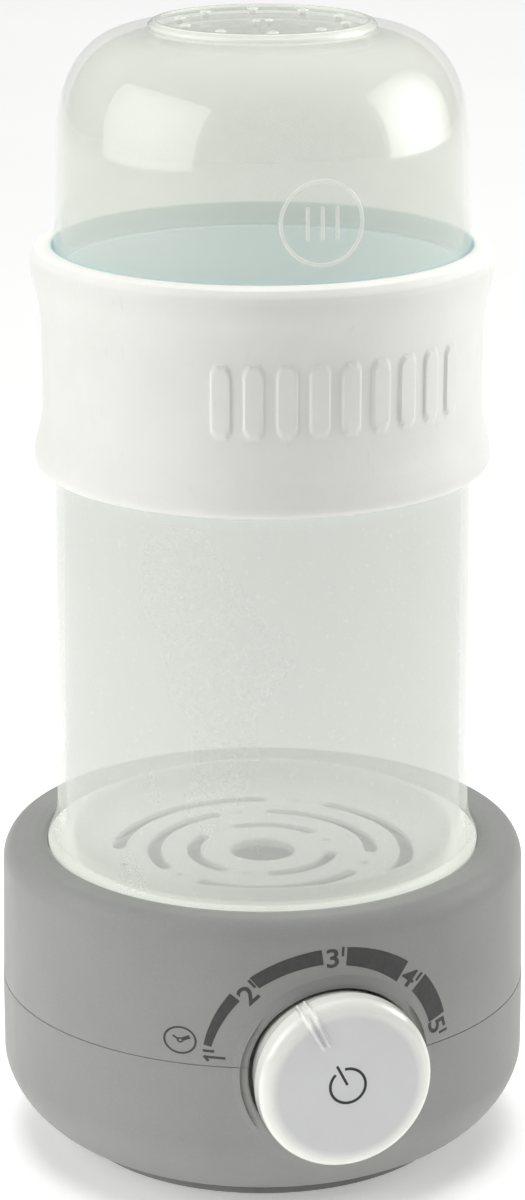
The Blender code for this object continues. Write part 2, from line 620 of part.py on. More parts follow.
def smooth_route(points, count):
    """Catmull-Rom curve through the points, read at count places."""
    knots = [Vector(point) for point in points]
    knots = [2 * knots[0] - knots[1]] + knots + [2 * knots[-1] - knots[-2]]
    route = []
    spans = len(knots) - 3
    for step in range(count):
        place = spans * step / (count - 1)
        first = min(int(place), spans - 1)
        t = place - first
        a, b, c, d = knots[first:first + 4]
        curve = 2 * b + (c - a) * t + (2 * a - 5 * b + 4 * c - d) * t**2 + (3 * b - a - 3 * c + d) * t**3
        route.append(curve / 2)
    return route


# Knob mechanism


def turned_at_knob(name, outline, look, segments, ring=False):
    """A turned piece on the knob's axis, whose outline is (radius, front)."""
    return turned(name, outline, look, segments, ring, location=(0, 0, KNOB_Z), along_y=True)


def knob_outline():
    """Outer surface of the knob as (radius, front)."""
    edge = corner((KNOB_FACE_R, KNOB_FRONT - 0.35), (KNOB_R - 0.25, KNOB_FRONT - KNOB_EDGE_DEPTH), 2.0, 5,
                  upright_first=False)
    return [(0, KNOB_FRONT)] + edge + [(KNOB_R, KNOB_BACK)]


def pointer_rib():
    """A low rib that runs from the face over the edge and down the side."""
    inner_end, side_front = POINTER_SPAN
    rib = [(inner_end - 0.8, KNOB_FRONT - 0.5), (inner_end, KNOB_FRONT + POINTER_HEIGHT - 0.25)]
    rib += [(radius + POINTER_HEIGHT, front + POINTER_HEIGHT) for radius, front in knob_outline()[1:-1]]
    rib += [(KNOB_R + POINTER_HEIGHT, side_front), (KNOB_R - 0.8, side_front - 0.6),
            (KNOB_R - 1.2, KNOB_FRONT - KNOB_EDGE_DEPTH - 1), (KNOB_FACE_R, KNOB_FRONT - 1.6),
            (inner_end, KNOB_FRONT - 1.4)]
    rib_bm = extruded_bmesh(rib, -POINTER_WIDTH / 2, POINTER_WIDTH / 2)
    # The rib is drawn in the plane of radius and front; its radius goes to +Z and its front to -Y.
    rib_bm.transform(Matrix(((0, 0, 1, 0), (0, -1, 0, 0), (1, 0, 0, 0), (0, 0, 0, 1))))
    rib_bm.transform(Matrix.Rotation(math.radians(POINTER_ANGLE), 4, "Y"))
    rib_cutter = cutter("pointer_rib", rib_bm)
    rib_cutter.location = (0, 0, KNOB_Z * MM)
    return rib_cutter


def knob():
    inner_r, bore_r = KNOB_R - KNOB_WALL, SHAFT_R + GAP
    inside = [(inner_r, KNOB_BACK), (inner_r, KNOB_WEB - 2.2), (inner_r - 2, KNOB_WEB - 0.3),
              (HUB_R, KNOB_WEB), (HUB_R, HUB_BACK), (bore_r, HUB_BACK), (bore_r, KNOB_WEB + 0.9),
              (0, KNOB_WEB + 0.9)]
    piece = turned_at_knob("knob", knob_outline() + inside, white_plastic(), 32)
    boolean(piece, pointer_rib(), "UNION")
    shaft_front = KNOB_WEB + 0.6
    shaft = [(0, SHAFT_BACK), (SHAFT_R, SHAFT_BACK), (SHAFT_R, shaft_front), (0, shaft_front)]
    turned_at_knob("control_shaft", shaft, steel(), 16)


def encoder():
    front, back = POCKET_BACK - GAP, DIAL_BOARD_FRONT + GAP
    inner_r = BUSH_R - 0.5
    outline = [(inner_r, back), (ENCODER_R, back), (ENCODER_R, front), (BUSH_R, front), (BUSH_R, BUSH_FRONT),
               (inner_r, BUSH_FRONT)]
    body = turned_at_knob("encoder_body", outline, steel(), 24, ring=True)
    case = box_bmesh((ENCODER_CASE, front - back, ENCODER_CASE), (0, -(front + back) / 2, KNOB_Z))
    case_cutter = cutter("encoder_case", case)
    case_hole = along_y_at_knob(rod_bmesh(ENCODER_R - 1, back - 1, front + 1, 24))
    boolean(case_cutter, cutter("encoder_case_hole", case_hole), "DIFFERENCE")
    boolean(body, case_cutter, "UNION")

    near, far = SHAFT_R + GAP, inner_r - GAP
    rotor_back, rotor_front = back + 0.2, BUSH_FRONT - 0.4
    rotor = [(near, rotor_back), (far, rotor_back), (far, rotor_front), (near, rotor_front)]
    turned_at_knob("encoder_rotor", rotor, brass(), 16, ring=True)

    hex_bore_r = (BUSH_R + GAP) / math.cos(math.radians(30))
    nut_back = POCKET_FLOOR + GAP
    nut = [(hex_bore_r, nut_back), (NUT_R, nut_back), (NUT_R, NUT_FRONT), (hex_bore_r, NUT_FRONT)]
    turned_at_knob("encoder_nut", nut, steel(), 6, ring=True)


def dial_board_and_switch():
    size = (DIAL_BOARD_WIDTH, DIAL_BOARD_FRONT - DIAL_BOARD_BACK, DIAL_BOARD_HEIGHT)
    middle = (0, -(DIAL_BOARD_FRONT + DIAL_BOARD_BACK) / 2, KNOB_Z)
    board = add_object("dial_board", box_bmesh(size, middle), circuit_green())
    board_hole = rod_bmesh(DIAL_BOARD_HOLE_R, DIAL_BOARD_BACK - 4, DIAL_BOARD_FRONT + 4)
    boolean(board, cutter("dial_board_hole", along_y_at_knob(board_hole)), "DIFFERENCE")
    front = DIAL_BOARD_BACK - GAP
    case = [(0, SWITCH_BACK), (SWITCH_R, SWITCH_BACK), (SWITCH_R, front), (SWITCH_WELL_R, front),
            (SWITCH_WELL_R, SWITCH_WELL_FLOOR), (0, SWITCH_WELL_FLOOR)]
    turned_at_knob("switch_body", case, dark_plastic(), 20)
    plunger_back = PLUNGER_FRONT - PLUNGER_LENGTH
    plunger = [(0, plunger_back), (PLUNGER_R, plunger_back), (PLUNGER_R, PLUNGER_FRONT), (0, PLUNGER_FRONT)]
    turned_at_knob("switch_plunger", plunger, white_plastic(), 16)


def knob_spring():
    """A coil spring round the shaft, between the recess's floor and the knob's front wall."""
    low = POCKET_FLOOR + GAP + SPRING_WIRE_R
    high = KNOB_WEB - 2 * GAP - SPRING_WIRE_R
    steps = SPRING_TURNS * 8
    coil = []
    for step in range(steps + 1):
        turn = 2 * math.pi * SPRING_TURNS * step / steps
        front = low + (high - low) * step / steps
        coil.append((SPRING_R * math.sin(turn), -front, KNOB_Z + SPRING_R * math.cos(turn)))
    tube("knob_spring", coil, SPRING_WIRE_R, steel(), 0)


# Electronics


def control_board():
    board = add_object("control_board", box_bmesh(BOARD_SIZE, (0, BOARD_Y, BOARD_Z)), circuit_green())
    bore_r = BOARD_SCREW_R + GAP
    cover_top = COVER_Z[1]
    holes = [at(rod_bmesh(bore_r, BOARD_UNDER - 1, PART_Z + 1), x, y) for x, y in BOARD_SCREWS]
    boolean(board, cutter("board_holes", *holes), "DIFFERENCE")
    posts = [at(rod_bmesh(BOARD_POST_R, cover_top - 0.5, BOARD_UNDER - GAP), x, y) for x, y in BOARD_SCREWS]
    bores = [at(rod_bmesh(bore_r, cover_top + 1, BOARD_UNDER + 1), x, y) for x, y in BOARD_SCREWS]
    cover = bpy.data.objects["bottom_cover"]
    boolean(cover, cutter("board_posts", *posts), "UNION")
    boolean(cover, cutter("board_post_bores", *bores), "DIFFERENCE")
    head_top = PART_Z + 1.4
    for count, (x, y) in enumerate(BOARD_SCREWS, 1):
        outline = [(0, BOARD_UNDER - 6), (BOARD_SCREW_R, BOARD_UNDER - 6), (BOARD_SCREW_R, PART_Z),
                   (BOARD_SCREW_HEAD_R, PART_Z), (BOARD_SCREW_HEAD_R - 0.5, head_top), (0, head_top)]
        turned(f"board_screw_{count}", outline, steel(), SMALL_SEGMENTS, ring=False, location=(x, y, 0))


def board_block(name, size, place):
    """A box-shaped part that stands on the control board."""
    add_object(name, box_bmesh(size, (*place, PART_Z + size[2] / 2)), dark_plastic())


def board_parts():
    board_block("power_relay", RELAY_SIZE, RELAY_PLACE)
    board_block("terminal_block", TERMINAL_SIZE, TERMINAL_PLACE)
    top = PART_Z + CAPACITOR_HEIGHT
    capacitor = [(0, PART_Z), (CAPACITOR_R, PART_Z), (CAPACITOR_R, top - 0.6), (CAPACITOR_R - 0.6, top),
                 (0, top)]
    turned("filter_capacitor", capacitor, dark_plastic(), 16, ring=False, location=(*CAPACITOR_PLACE, 0))
    top = PART_Z + BUZZER_HEIGHT
    buzzer = [(0, PART_Z), (BUZZER_R, PART_Z), (BUZZER_R, top), (BUZZER_HOLE_R, top),
              (BUZZER_HOLE_R, top - 1), (0, top - 1)]
    turned("buzzer", buzzer, dark_plastic(), 20, ring=False, location=(*BUZZER_PLACE, 0))


def leads():
    """The two heater leads, from the terminal block to the element's ends, and the dial board's lead."""
    block_top = PART_Z + TERMINAL_SIZE[2] + GAP
    for name, side in (("live_lead", -1), ("neutral_lead", 1)):
        element_end = polar(ELEMENT_R, 90 - side * (ELEMENT_FIRST - 90), ELEMENT_Z - ELEMENT_TAIL - GAP)
        start = Vector((TERMINAL_PLACE[0] + side * TERMINAL_SIZE[0] / 4, TERMINAL_PLACE[1], block_top))
        route = [start, start + Vector((0, 0, 6)), element_end - Vector((0, 0, 8)), element_end]
        tube(name, smooth_route(route, 14), LEAD_R, cable_red(), 1)
    lead_z = KNOB_Z - 9
    board_end = GAP - DIAL_BOARD_BACK
    lead = [(DIAL_LEAD_X, board_end, lead_z), (DIAL_LEAD_X, board_end + 5.5, lead_z),
            (DIAL_LEAD_X - 1, -30, 24), (DIAL_LEAD_X - 2, -17, 19), (DIAL_LEAD_X - 2, -16, PART_Z)]
    tube("dial_lead", smooth_route(lead, 16), LEAD_R, dark_plastic(), 1)


def cord_gland():
    """The bush in the rear wall that the mains cord comes through."""
    near, far = BASE_R - 5.5, BASE_R + 2.0
    face = BASE_R + LOWER_STEP + GAP
    outline = [(GLAND_BORE_R, near), (GLAND_R, near), (GLAND_R, face), (GLAND_FLANGE_R, face),
               (GLAND_FLANGE_R, far - 0.4), (GLAND_FLANGE_R - 0.5, far), (GLAND_BORE_R, far)]
    bm = turned_bmesh(outline, 16, ring=True)
    bm.transform(Matrix.Rotation(math.radians(-90), 4, "X"))
    add_object("cord_gland", bm, black_rubber(), location=(0, 0, GLAND_Z))


def main():
    clear_scene()
    base_shells()
    cover_and_feet()
    chamber()
    grip_ring()
    steam_grid()
    dome_lid()
    heating_plate()
    plate_seal()
    heater_bracket()
    heating_element()
    thermostat_and_fuse()
    knob()
    encoder()
    dial_board_and_switch()
    knob_spring()
    control_board()
    board_parts()
    leads()
    cord_gland()


main()
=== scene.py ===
"""Looks of a steam bottle warmer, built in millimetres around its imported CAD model. The body axis is Z, the
knob faces -Y, and the feet stand on z = 0."""

import math

import bmesh
import bpy
import numpy as np
from mathutils import Matrix, Vector


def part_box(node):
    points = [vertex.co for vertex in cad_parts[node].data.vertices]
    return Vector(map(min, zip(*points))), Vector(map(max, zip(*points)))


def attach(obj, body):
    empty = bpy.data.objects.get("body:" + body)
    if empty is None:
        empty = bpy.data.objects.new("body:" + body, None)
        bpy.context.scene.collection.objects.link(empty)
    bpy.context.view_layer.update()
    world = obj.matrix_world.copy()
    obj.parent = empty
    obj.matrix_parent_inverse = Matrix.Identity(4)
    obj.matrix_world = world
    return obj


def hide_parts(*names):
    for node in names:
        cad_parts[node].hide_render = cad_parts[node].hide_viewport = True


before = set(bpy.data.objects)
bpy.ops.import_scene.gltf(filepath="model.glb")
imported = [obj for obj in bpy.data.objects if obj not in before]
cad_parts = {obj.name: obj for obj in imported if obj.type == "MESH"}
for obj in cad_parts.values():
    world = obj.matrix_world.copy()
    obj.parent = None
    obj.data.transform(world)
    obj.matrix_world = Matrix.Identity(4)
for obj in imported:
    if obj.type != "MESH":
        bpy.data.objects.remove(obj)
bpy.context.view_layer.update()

MM = 0.001
GAP = 0.3  # clearance between neighbouring pieces


def low(node):
    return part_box(node)[0] / MM


def high(node):
    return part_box(node)[1] / MM


# Sizes read from the frame
BASE_R = high("upper_housing").x
LOWER_R = high("lower_housing").x
SEAM_Z = low("upper_housing").z - GAP / 2
TOP_Z = high("upper_housing").z
BOTTOM_EDGE_Z = low("lower_housing").z
PLINTH_R = high("bottom_cover").x
KNOB_Z = (low("control_shaft").z + high("control_shaft").z) / 2
KNOB_R = high("knob").x
KNOB_BACK = -high("knob").y
BUSH_R = (high("encoder_rotor").x - low("encoder_rotor").x) / 2 + 0.8
TUBE_LOW_Z, TUBE_TOP_Z = low("chamber_tube").z, high("chamber_tube").z
SKIRT_R = high("chamber_tube").x
RING_LOW_Z, RING_TOP_Z = low("grip_ring").z, high("grip_ring").z
RING_TOP_R = high("grip_ring").x
LID_LOW_Z, LID_TOP_Z = low("dome_lid").z, high("dome_lid").z
LID_LOW_R = high("dome_lid").x
TRAY_R, TRAY_TOP_Z = high("steam_grid").x, high("steam_grid").z
DISH_R, DISH_TOP_Z = high("heating_plate").x, high("heating_plate").z
DISH_UNDER_Z = low("heating_plate").z
SEAL_LOW_Z, SEAL_TOP_Z = low("plate_seal").z, high("plate_seal").z
GLAND_Z = (low("cord_gland").z + high("cord_gland").z) / 2
GLAND_NEAR, GLAND_FAR = low("cord_gland").y, high("cord_gland").y
GLAND_FLANGE_R = high("cord_gland").x

# Base shape
BASE_TOP_R, TOP_CORNER_Z = 63.5, 70.5
TOP_R, TOP_POWER = 59.6, 1.8
SEAM_LINE = 0.05  # half the width of the fine line between the two shells
BOTTOM_EDGE_R, LOWER_CORNER_Z, LOWER_POWER = 45.7, 21.7, 1.7
WALL = 2.4
WELL_R, WELL_Z, WELL_THROAT_R, LEDGE_UNDER_Z = 52.8, 67.4, 43.2, 65.2
BOTTOM_OPENING_R = 36.0
SCREW_CIRCLE_R, FOOT_CIRCLE_R, FOOT_RECESS_R = 41.0, 38.5, 5.3  # in the plinth
POCKET_R = 20.5
POCKET_FLOOR = KNOB_BACK - 2.0
POCKET_ROUND = (1.5, 1.4)  # how far the recess's rounded edge runs outward, and inward
CUP_R = POCKET_R + WALL

# Knob
KNOB_FRONT = 71.5
KNOB_FACE_R = 17.5
KNOB_EDGE_DEPTH, KNOB_SIDE_DEPTH = 2.5, 5.9  # where the rounded edge and the straight side end
POINTER_ANGLE = 117.0  # from +X, counter-clockwise as the user sees it
POINTER_INNER_R = 10.9
ICON_R = 4.25
PRINT_THICK = 0.05

# Dial print, in polar coordinates about the knob's axis: degrees clockwise from straight up
BANDS = (  # angle, outer radius and inner radius at both ends of each scale band
    ((-76, 31.3, 29.6), (-50, 32.2, 29.4)), ((-39.6, 32.0, 28.7), (-7.4, 31.2, 27.5)),
    ((4, 31.1, 26.6), (35.6, 30.5, 25.1)), ((47.6, 30.4, 25.4), (71.2, 29.5, 25.0)))
NUMERALS = (("2", -45.5, 29.2), ("3", -2.8, 28.7), ("4", 40.6, 27.6), ("5", 75.3, 26.7))
ONE_ANGLE, ONE_RADIUS, ONE_TILT = -80.8, 28.4, -8.0
NUMERAL_HEIGHT, NUMERAL_WIDENING, NUMERAL_BOLDNESS = 4.6, 1.18, 0.016
NUMERAL_STROKE, TICK_ANGLE = 0.62, 4.9  # width of ticks and of the 1, and degrees from a digit to its tick
CLOCK_PLACE, CLOCK_R, CLOCK_STROKE = (-35.2, 46.7), 3.2, 0.42

# Chamber
TUBE_R, TUBE_TOP_R, FLARE_TOP_Z = 50.0, 48.7, 88.0
TUBE_INNER_R, FOOT_TOP_Z = 48.0, 74.9  # the clear tube and its thick foot meet at FOOT_TOP_Z
WAIST_R = 52.0  # of the ring

# Relief on the ring and the lid
GRIP_COUNT, GRIP_MIDDLE, GRIP_PITCH = 9, 6.5, 8.2  # number of ribs, and degrees from the front
GRIP_Z, GRIP_HALF_HEIGHT, GRIP_HALF_WIDTH, GRIP_HEIGHT = 196.5, 8.4, 2.5, 0.6
EMBLEM_Z, EMBLEM_R = 236.0, 9.4
DOME_WALL_R, DOME_WALL_Z, DOME_POWER = 48.2, 244.7, 2.36
PLATEAU_FOOT = (26.9, 272.7)  # radius and height where the dome meets its plateau
VENT_COUNT, VENT_CIRCLE_R, VENT_R = 10, 19.5, 0.75

ALONG_Y = Matrix.Rotation(math.radians(90), 4, "X")  # turns +Z onto -Y
AT_KNOB = Matrix.Translation((0, 0, KNOB_Z)) @ ALONG_Y
FRONT = -90.0  # the direction of the knob as an angle from +X


def polar(radius, degrees, middle=(0.0, 0.0)):
    turn = math.radians(degrees)
    return middle[0] + radius * math.cos(turn), middle[1] + radius * math.sin(turn)


# Shader helpers


class Look:
    """A Principled material whose texture nodes are added through short methods."""

    def __init__(self, name, **constants):
        self.material = bpy.data.materials.new(name)
        self.material.use_nodes = True
        self.tree = self.material.node_tree
        self.shader = self.tree.nodes["Principled BSDF"]
        self.place = self.tree.nodes.new("ShaderNodeTexCoord").outputs["Object"]
        for socket, value in constants.items():
            title = socket.replace("_", " ").title().replace("Ior", "IOR")
            self.shader.inputs[title].default_value = value

    def drive(self, socket, output):
        self.tree.links.new(output, self.shader.inputs[socket])

    def add(self, kind, inputs, **settings):
        """A new shader node. An input is a value or another node's output."""
        node = self.tree.nodes.new("ShaderNode" + kind)
        for setting, value in settings.items():
            setattr(node, setting, value)
        for socket, value in inputs.items():
            if isinstance(value, bpy.types.NodeSocket):
                self.tree.links.new(value, node.inputs[socket])
            else:
                node.inputs[socket].default_value = value
        return node

    def stretched(self, stretch, shift=(0, 0, 0)):
        inputs = {"Vector": self.place, "Scale": stretch, "Location": shift}
        return self.add("Mapping", inputs).outputs["Vector"]

    def noise(self, scale, detail=2.0, rough=0.5, place=None, distortion=0.0):
        inputs = {"Vector": place or self.place, "Scale": scale, "Detail": detail, "Roughness": rough,
                  "Distortion": distortion}
        return self.add("TexNoise", inputs).outputs["Fac"]

    def remap(self, value, to_low, to_high, from_low=0.3, from_high=0.7):
        inputs = {"Value": value, "From Min": from_low, "From Max": from_high, "To Min": to_low,
                  "To Max": to_high}
        return self.add("MapRange", inputs).outputs["Result"]

    def math(self, operation, first, second=0.0):
        return self.add("Math", {0: first, 1: second}, operation=operation).outputs[0]

    def along(self, axis):
        """The place's X, Y or Z, in metres."""
        return self.add("SeparateXYZ", {0: self.place}).outputs[axis]

    def axis_distance(self):
        """Distance from the body axis, in metres."""
        squares = [self.math("MULTIPLY", self.along(axis), self.along(axis)) for axis in "XY"]
        return self.math("SQRT", self.math("ADD", *squares))

    def knob_distance(self):
        """Distance from the knob's axis, in metres."""
        place = self.stretched((1, 0, 1), (0, 0, -KNOB_Z * MM))
        return self.add("VectorMath", {0: place}, operation="LENGTH").outputs["Value"]

    def blend(self, factor, first, second):
        return self.add("Mix", {0: factor, 6: first, 7: second}, data_type="RGBA").outputs[2]

    def clouds(self, scale, dark, pale, detail=4, rough=0.6):
        """A colour that drifts between two tints."""
        return self.blend(self.remap(self.noise(scale, detail, rough), 0, 1), rgb(*dark), rgb(*pale))

    def bump(self, height, distance, strength=1.0, under=None):
        inputs = {"Height": height, "Distance": distance, "Strength": strength}
        if under:
            inputs["Normal"] = under
        return self.add("Bump", inputs).outputs["Normal"]


def rgb(red, green, blue):
    return (red, green, blue, 1.0)


def soft_grey():
    """Soft-touch grey plastic with a fine spark-eroded grain, faint hand marks and a swell round the knob."""
    look = Look("soft_grey", sheen_weight=0.12, sheen_roughness=0.4)
    base = look.clouds(28, (0.300, 0.302, 0.291), (0.328, 0.330, 0.318))
    speck = look.remap(look.noise(2600, 1), 0, 0.35, 0.55, 0.75)
    look.drive("Base Color", look.blend(speck, base, rgb(0.40, 0.40, 0.385)))
    marks = look.noise(70, 5, 0.65, look.stretched((1, 1, 0.35)), 0.6)
    look.drive("Roughness", look.remap(marks, 0.46, 0.60))
    collar = look.remap(look.knob_distance(), 1, 0, (POCKET_R + 0.6) * MM, (POCKET_R + 3.8) * MM)
    swell = look.bump(look.math("MULTIPLY", collar, look.math("LESS_THAN", look.along("Y"))), 0.0012)
    grain = look.bump(look.noise(2200, 2), 0.00004, 0.5, swell)
    look.drive("Normal", look.bump(look.noise(14, 2), 0.0004, 0.12, grain))
    return look.material


def plinth_plastic():
    """Matte dark grey plastic of the underside."""
    look = Look("plinth_plastic")
    look.drive("Base Color", look.clouds(60, (0.27, 0.27, 0.266), (0.32, 0.32, 0.315), rough=0.5))
    look.drive("Roughness", look.remap(look.noise(300, 3), 0.55, 0.75))
    look.drive("Normal", look.bump(look.noise(1300, 2), 0.00008, 0.6))
    return look.material


def frosted(name, alpha, tint, rough, painted_glow, gloss):
    """Natural translucent polypropylene: glossy, faintly cloudy, slightly wavy from the mould, with painted
    bluish shade behind the sleeve. Its emission is a painted glow that stands in for the light its milky wall
    passes on."""
    # The emission is a painted glow, standing in for light scattered through the plastic.
    look = Look(name, alpha=alpha, coat_weight=1.0, coat_ior=gloss, coat_roughness=0.035,
                emission_strength=painted_glow, emission_color=rgb(0.97, 1.0, 0.97))
    cloud = look.remap(look.noise(22, 3, 0.55, look.stretched((1, 1, 0.4)), 0.8), 0, 1)
    pale = [min(1.0, part * 1.07) for part in tint]
    base = look.blend(cloud, rgb(*tint), rgb(*pale))
    # Painted bluish shade where the sleeve keeps light off the tube, ending above the sleeve's top.
    sleeve_shade_mask = look.remap(look.along("Z"), 0, 1, (RING_LOW_Z - 4) * MM, (RING_LOW_Z + 12) * MM)
    clear = look.remap(look.along("Z"), 0, 1, (RING_TOP_Z - 6) * MM, (RING_TOP_Z + 2) * MM)
    base = look.blend(look.math("SUBTRACT", sleeve_shade_mask, clear), base, rgb(0.50, 0.67, 0.70))
    dust = look.remap(look.noise(900, 2), 0, 0.14, 0.6, 0.8)
    look.drive("Base Color", look.blend(dust, base, rgb(0.93, 0.95, 0.92)))
    look.drive("Roughness", look.remap(look.noise(45, 4, 0.6), rough - 0.04, rough + 0.06))
    wave = look.bump(look.noise(18, 1), 0.0009, 0.10)
    look.drive("Normal", look.bump(look.noise(1500, 2), 0.00002, 0.35, wave))
    return look.material


def white_silicone():
    """Warm white silicone, powdery and faintly cloudy, with fibres of lint, and painted bluish shade inside
    the lid's radius.
    """
    look = Look("white_silicone", specular_ior_level=0.35, sheen_weight=0.15, sheen_roughness=0.5)
    base = look.clouds(40, (0.84, 0.838, 0.80), (0.89, 0.887, 0.85))
    lint = look.remap(look.noise(650, 2, 0.5, look.stretched((1, 1, 0.25))), 0, 0.25, 0.66, 0.80)
    linted = look.blend(lint, base, rgb(0.70, 0.69, 0.66))
    # Painted bluish shade on the ring's inner lip, which lies in shade inside the lid.
    mouth_shade_mask = look.remap(look.axis_distance(), 1, 0, (LID_LOW_R + 0.4) * MM, (LID_LOW_R + 1.2) * MM)
    look.drive("Base Color", look.blend(mouth_shade_mask, linted, rgb(0.66, 0.80, 0.82)))
    look.drive("Roughness", look.remap(look.noise(180, 4, 0.6), 0.50, 0.66))
    grain = look.bump(look.noise(1400, 2), 0.00005, 0.5)
    look.drive("Normal", look.bump(look.noise(30, 2), 0.0005, 0.12, grain))
    return look.material


def gloss_white(name, tint, rough):
    """Glossy white plastic with the orange-peel ripple of a polished mould and rubbed patches."""
    look = Look(name, coat_weight=0.25, coat_roughness=0.12)
    pale = [min(1.0, part * 1.04) for part in tint]
    look.drive("Base Color", look.clouds(70, tint, pale, 3, 0.5))
    rubbed = look.noise(160, 5, 0.7, None, 0.5)
    look.drive("Roughness", look.remap(rubbed, rough, rough + 0.14))
    look.drive("Normal", look.bump(look.noise(420, 2), 0.00003, 0.4))
    return look.material


def knob_plastic():
    """Glossy cream plastic with a satin flat face, which is painted a cooler grey-white as shade."""
    look = Look("knob_plastic", coat_weight=1.0, coat_roughness=0.08)
    rim = look.remap(look.knob_distance(), 0, 1, (KNOB_FACE_R - 0.9) * MM, (KNOB_FACE_R + 1.3) * MM)
    cloud = look.remap(look.noise(90, 4, 0.6), 0, 1)
    # The face's cooler grey is painted shade on the one cream plastic. The rim's cream is the plastic's own
    # colour.
    face = look.blend(cloud, rgb(0.68, 0.68, 0.69), rgb(0.71, 0.71, 0.715))
    cream = look.blend(cloud, rgb(0.95, 0.95, 0.90), rgb(0.97, 0.97, 0.92))
    look.drive("Base Color", look.blend(rim, face, cream))
    rubbed = look.remap(look.noise(160, 5, 0.7, None, 0.5), 0, 0.12)
    look.drive("Roughness", look.math("ADD", rubbed, look.remap(rim, 0.38, 0.16, 0, 1)))
    look.drive("Normal", look.bump(look.noise(420, 2), 0.00003, 0.4))
    return look.material


def brushed_steel(name, colour, rough):
    """Steel turned on a lathe: fine rings about the body axis, with dull water marks."""
    look = Look(name, metallic=1.0, anisotropic=0.3)
    inputs = {"W": look.axis_distance(), "Scale": 2400, "Detail": 3}
    rings = look.add("TexNoise", inputs, noise_dimensions="1D").outputs["Fac"]
    marks = look.remap(look.noise(90, 5, 0.65, None, 0.8), 0, 0.75, 0.48, 0.72)
    dull = [part * 0.78 for part in colour]
    shine = look.blend(look.remap(rings, 0, 1), rgb(*dull), rgb(*colour))
    look.drive("Base Color", look.blend(marks, shine, rgb(0.66, 0.70, 0.70)))
    satin = look.remap(rings, rough, rough + 0.12)
    look.drive("Roughness", look.math("ADD", satin, look.math("MULTIPLY", marks, 0.2)))
    look.drive("Normal", look.bump(rings, 0.00002, 0.5))
    return look.material


def speckled(name, dark, pale, rough, scale, metal=0.0, depth=0.00005):
    """A material that clouds between two colours, with a fine grain."""
    look = Look(name, metallic=metal)
    look.drive("Base Color", look.clouds(scale, dark, pale))
    look.drive("Roughness", look.remap(look.noise(scale * 3, 4), rough, rough + 0.18))
    look.drive("Normal", look.bump(look.noise(scale * 9, 2), depth, 0.5))
    return look.material


def circuit_board():
    """Green solder mask with paler lines between its fields, like the tracks under it."""
    look = Look("circuit_board", coat_weight=0.3, coat_roughness=0.2)
    lanes = look.add("TexBrick", {
        "Vector": look.place, "Scale": 300, "Mortar Size": 0.03, "Color1": rgb(0.03, 0.20, 0.09),
        "Color2": rgb(0.04, 0.25, 0.12), "Mortar": rgb(0.10, 0.36, 0.18)})
    look.drive("Base Color", lanes.outputs["Color"])
    look.drive("Roughness", look.remap(look.noise(400, 3), 0.3, 0.5))
    look.drive("Normal", look.bump(lanes.outputs["Fac"], 0.00006, 0.5))
    return look.material


def print_ink(name, colour):
    """Pad-printed ink, matte, very slightly uneven."""
    look = Look(name)
    dark = [part * 0.8 for part in colour]
    look.drive("Base Color", look.clouds(500, dark, colour, 3, 0.5))
    look.drive("Roughness", look.remap(look.noise(900, 3), 0.5, 0.68))
    look.drive("Normal", look.bump(look.noise(2500, 2), 0.00002, 0.4))
    return look.material


# Outline helpers


def corner(start, end, power, steps):
    """Superellipse arc of (radius, z) points that leaves start upright and reaches end level."""
    points = []
    for step in range(steps + 1):
        turn = math.pi / 2 * step / steps
        near, far = math.cos(turn) ** (2 / power), math.sin(turn) ** (2 / power)
        points.append((start[0] + (end[0] - start[0]) * (1 - near), start[1] + (end[1] - start[1]) * far))
    return points


def rounded(points, steps=6):
    """Turns each (radius, z, rounding) point into an arc; points without a rounding stay."""
    outline = []
    for k, point in enumerate(points):
        if len(point) == 2:
            outline.append(point)
            continue
        here = Vector(point[:2])
        to_last = Vector(points[k - 1][:2]) - here
        to_next = Vector(points[(k + 1) % len(points)][:2]) - here
        half = to_last.angle(to_next) / 2
        reach = min(point[2] / math.tan(half), 0.49 * to_last.length, 0.49 * to_next.length)
        radius = reach * math.tan(half)
        middle = here + (to_last.normalized() + to_next.normalized()).normalized() * (radius / math.sin(half))
        first = here + to_last.normalized() * reach - middle
        last = here + to_next.normalized() * reach - middle
        start = math.atan2(first.y, first.x)
        sweep = (math.atan2(last.y, last.x) - start + math.pi) % (2 * math.pi) - math.pi
        for step in range(steps + 1):
            turn = start + sweep * step / steps
            outline.append((middle.x + radius * math.cos(turn), middle.y + radius * math.sin(turn)))
    return outline


def dense(outline, longest, closed=True):
    """Splits the outline's long stretches, so that no step is longer than longest."""
    points = []
    ends = outline[1:] + outline[:1] if closed else outline[1:]
    for (r0, z0), (r1, z1) in zip(outline, ends):
        steps = max(1, math.ceil(math.hypot(r1 - r0, z1 - z0) / longest))
        points += [(r0 + (r1 - r0) * k / steps, z0 + (z1 - z0) * k / steps) for k in range(steps)]
    return points if closed else points + [outline[-1]]


def spline(points, steps=8):
    """Smooth curve through (radius, z) points, Catmull-Rom."""
    knots = [Vector(point) for point in points]
    knots = [2 * knots[0] - knots[1]] + knots + [2 * knots[-1] - knots[-2]]
    outline = []
    for a, b, c, d in zip(knots, knots[1:], knots[2:], knots[3:]):
        for step in range(steps):
            t = step / steps
            place = 2 * b + (c - a) * t + (2 * a - 5 * b + 4 * c - d) * t**2 + (3 * b - a - 3 * c + d) * t**3
            outline.append(tuple(place / 2))
    return outline + [tuple(points[-1])]


def even_angles(count):
    """Degrees of a full turn in equal steps."""
    return np.arange(count) * 360.0 / count


def angles_with_detail(count, middle, half_span, step):
    """Angles of a full turn, spaced by step near middle and by 360 / count elsewhere."""
    fine = np.arange(middle - half_span, middle + half_span + step / 2, step)
    rest = 360 - 2 * half_span
    coarse_steps = max(2, round(rest * count / 360))
    coarse = middle + half_span + np.arange(1, coarse_steps) * rest / coarse_steps
    return np.concatenate([fine, coarse])


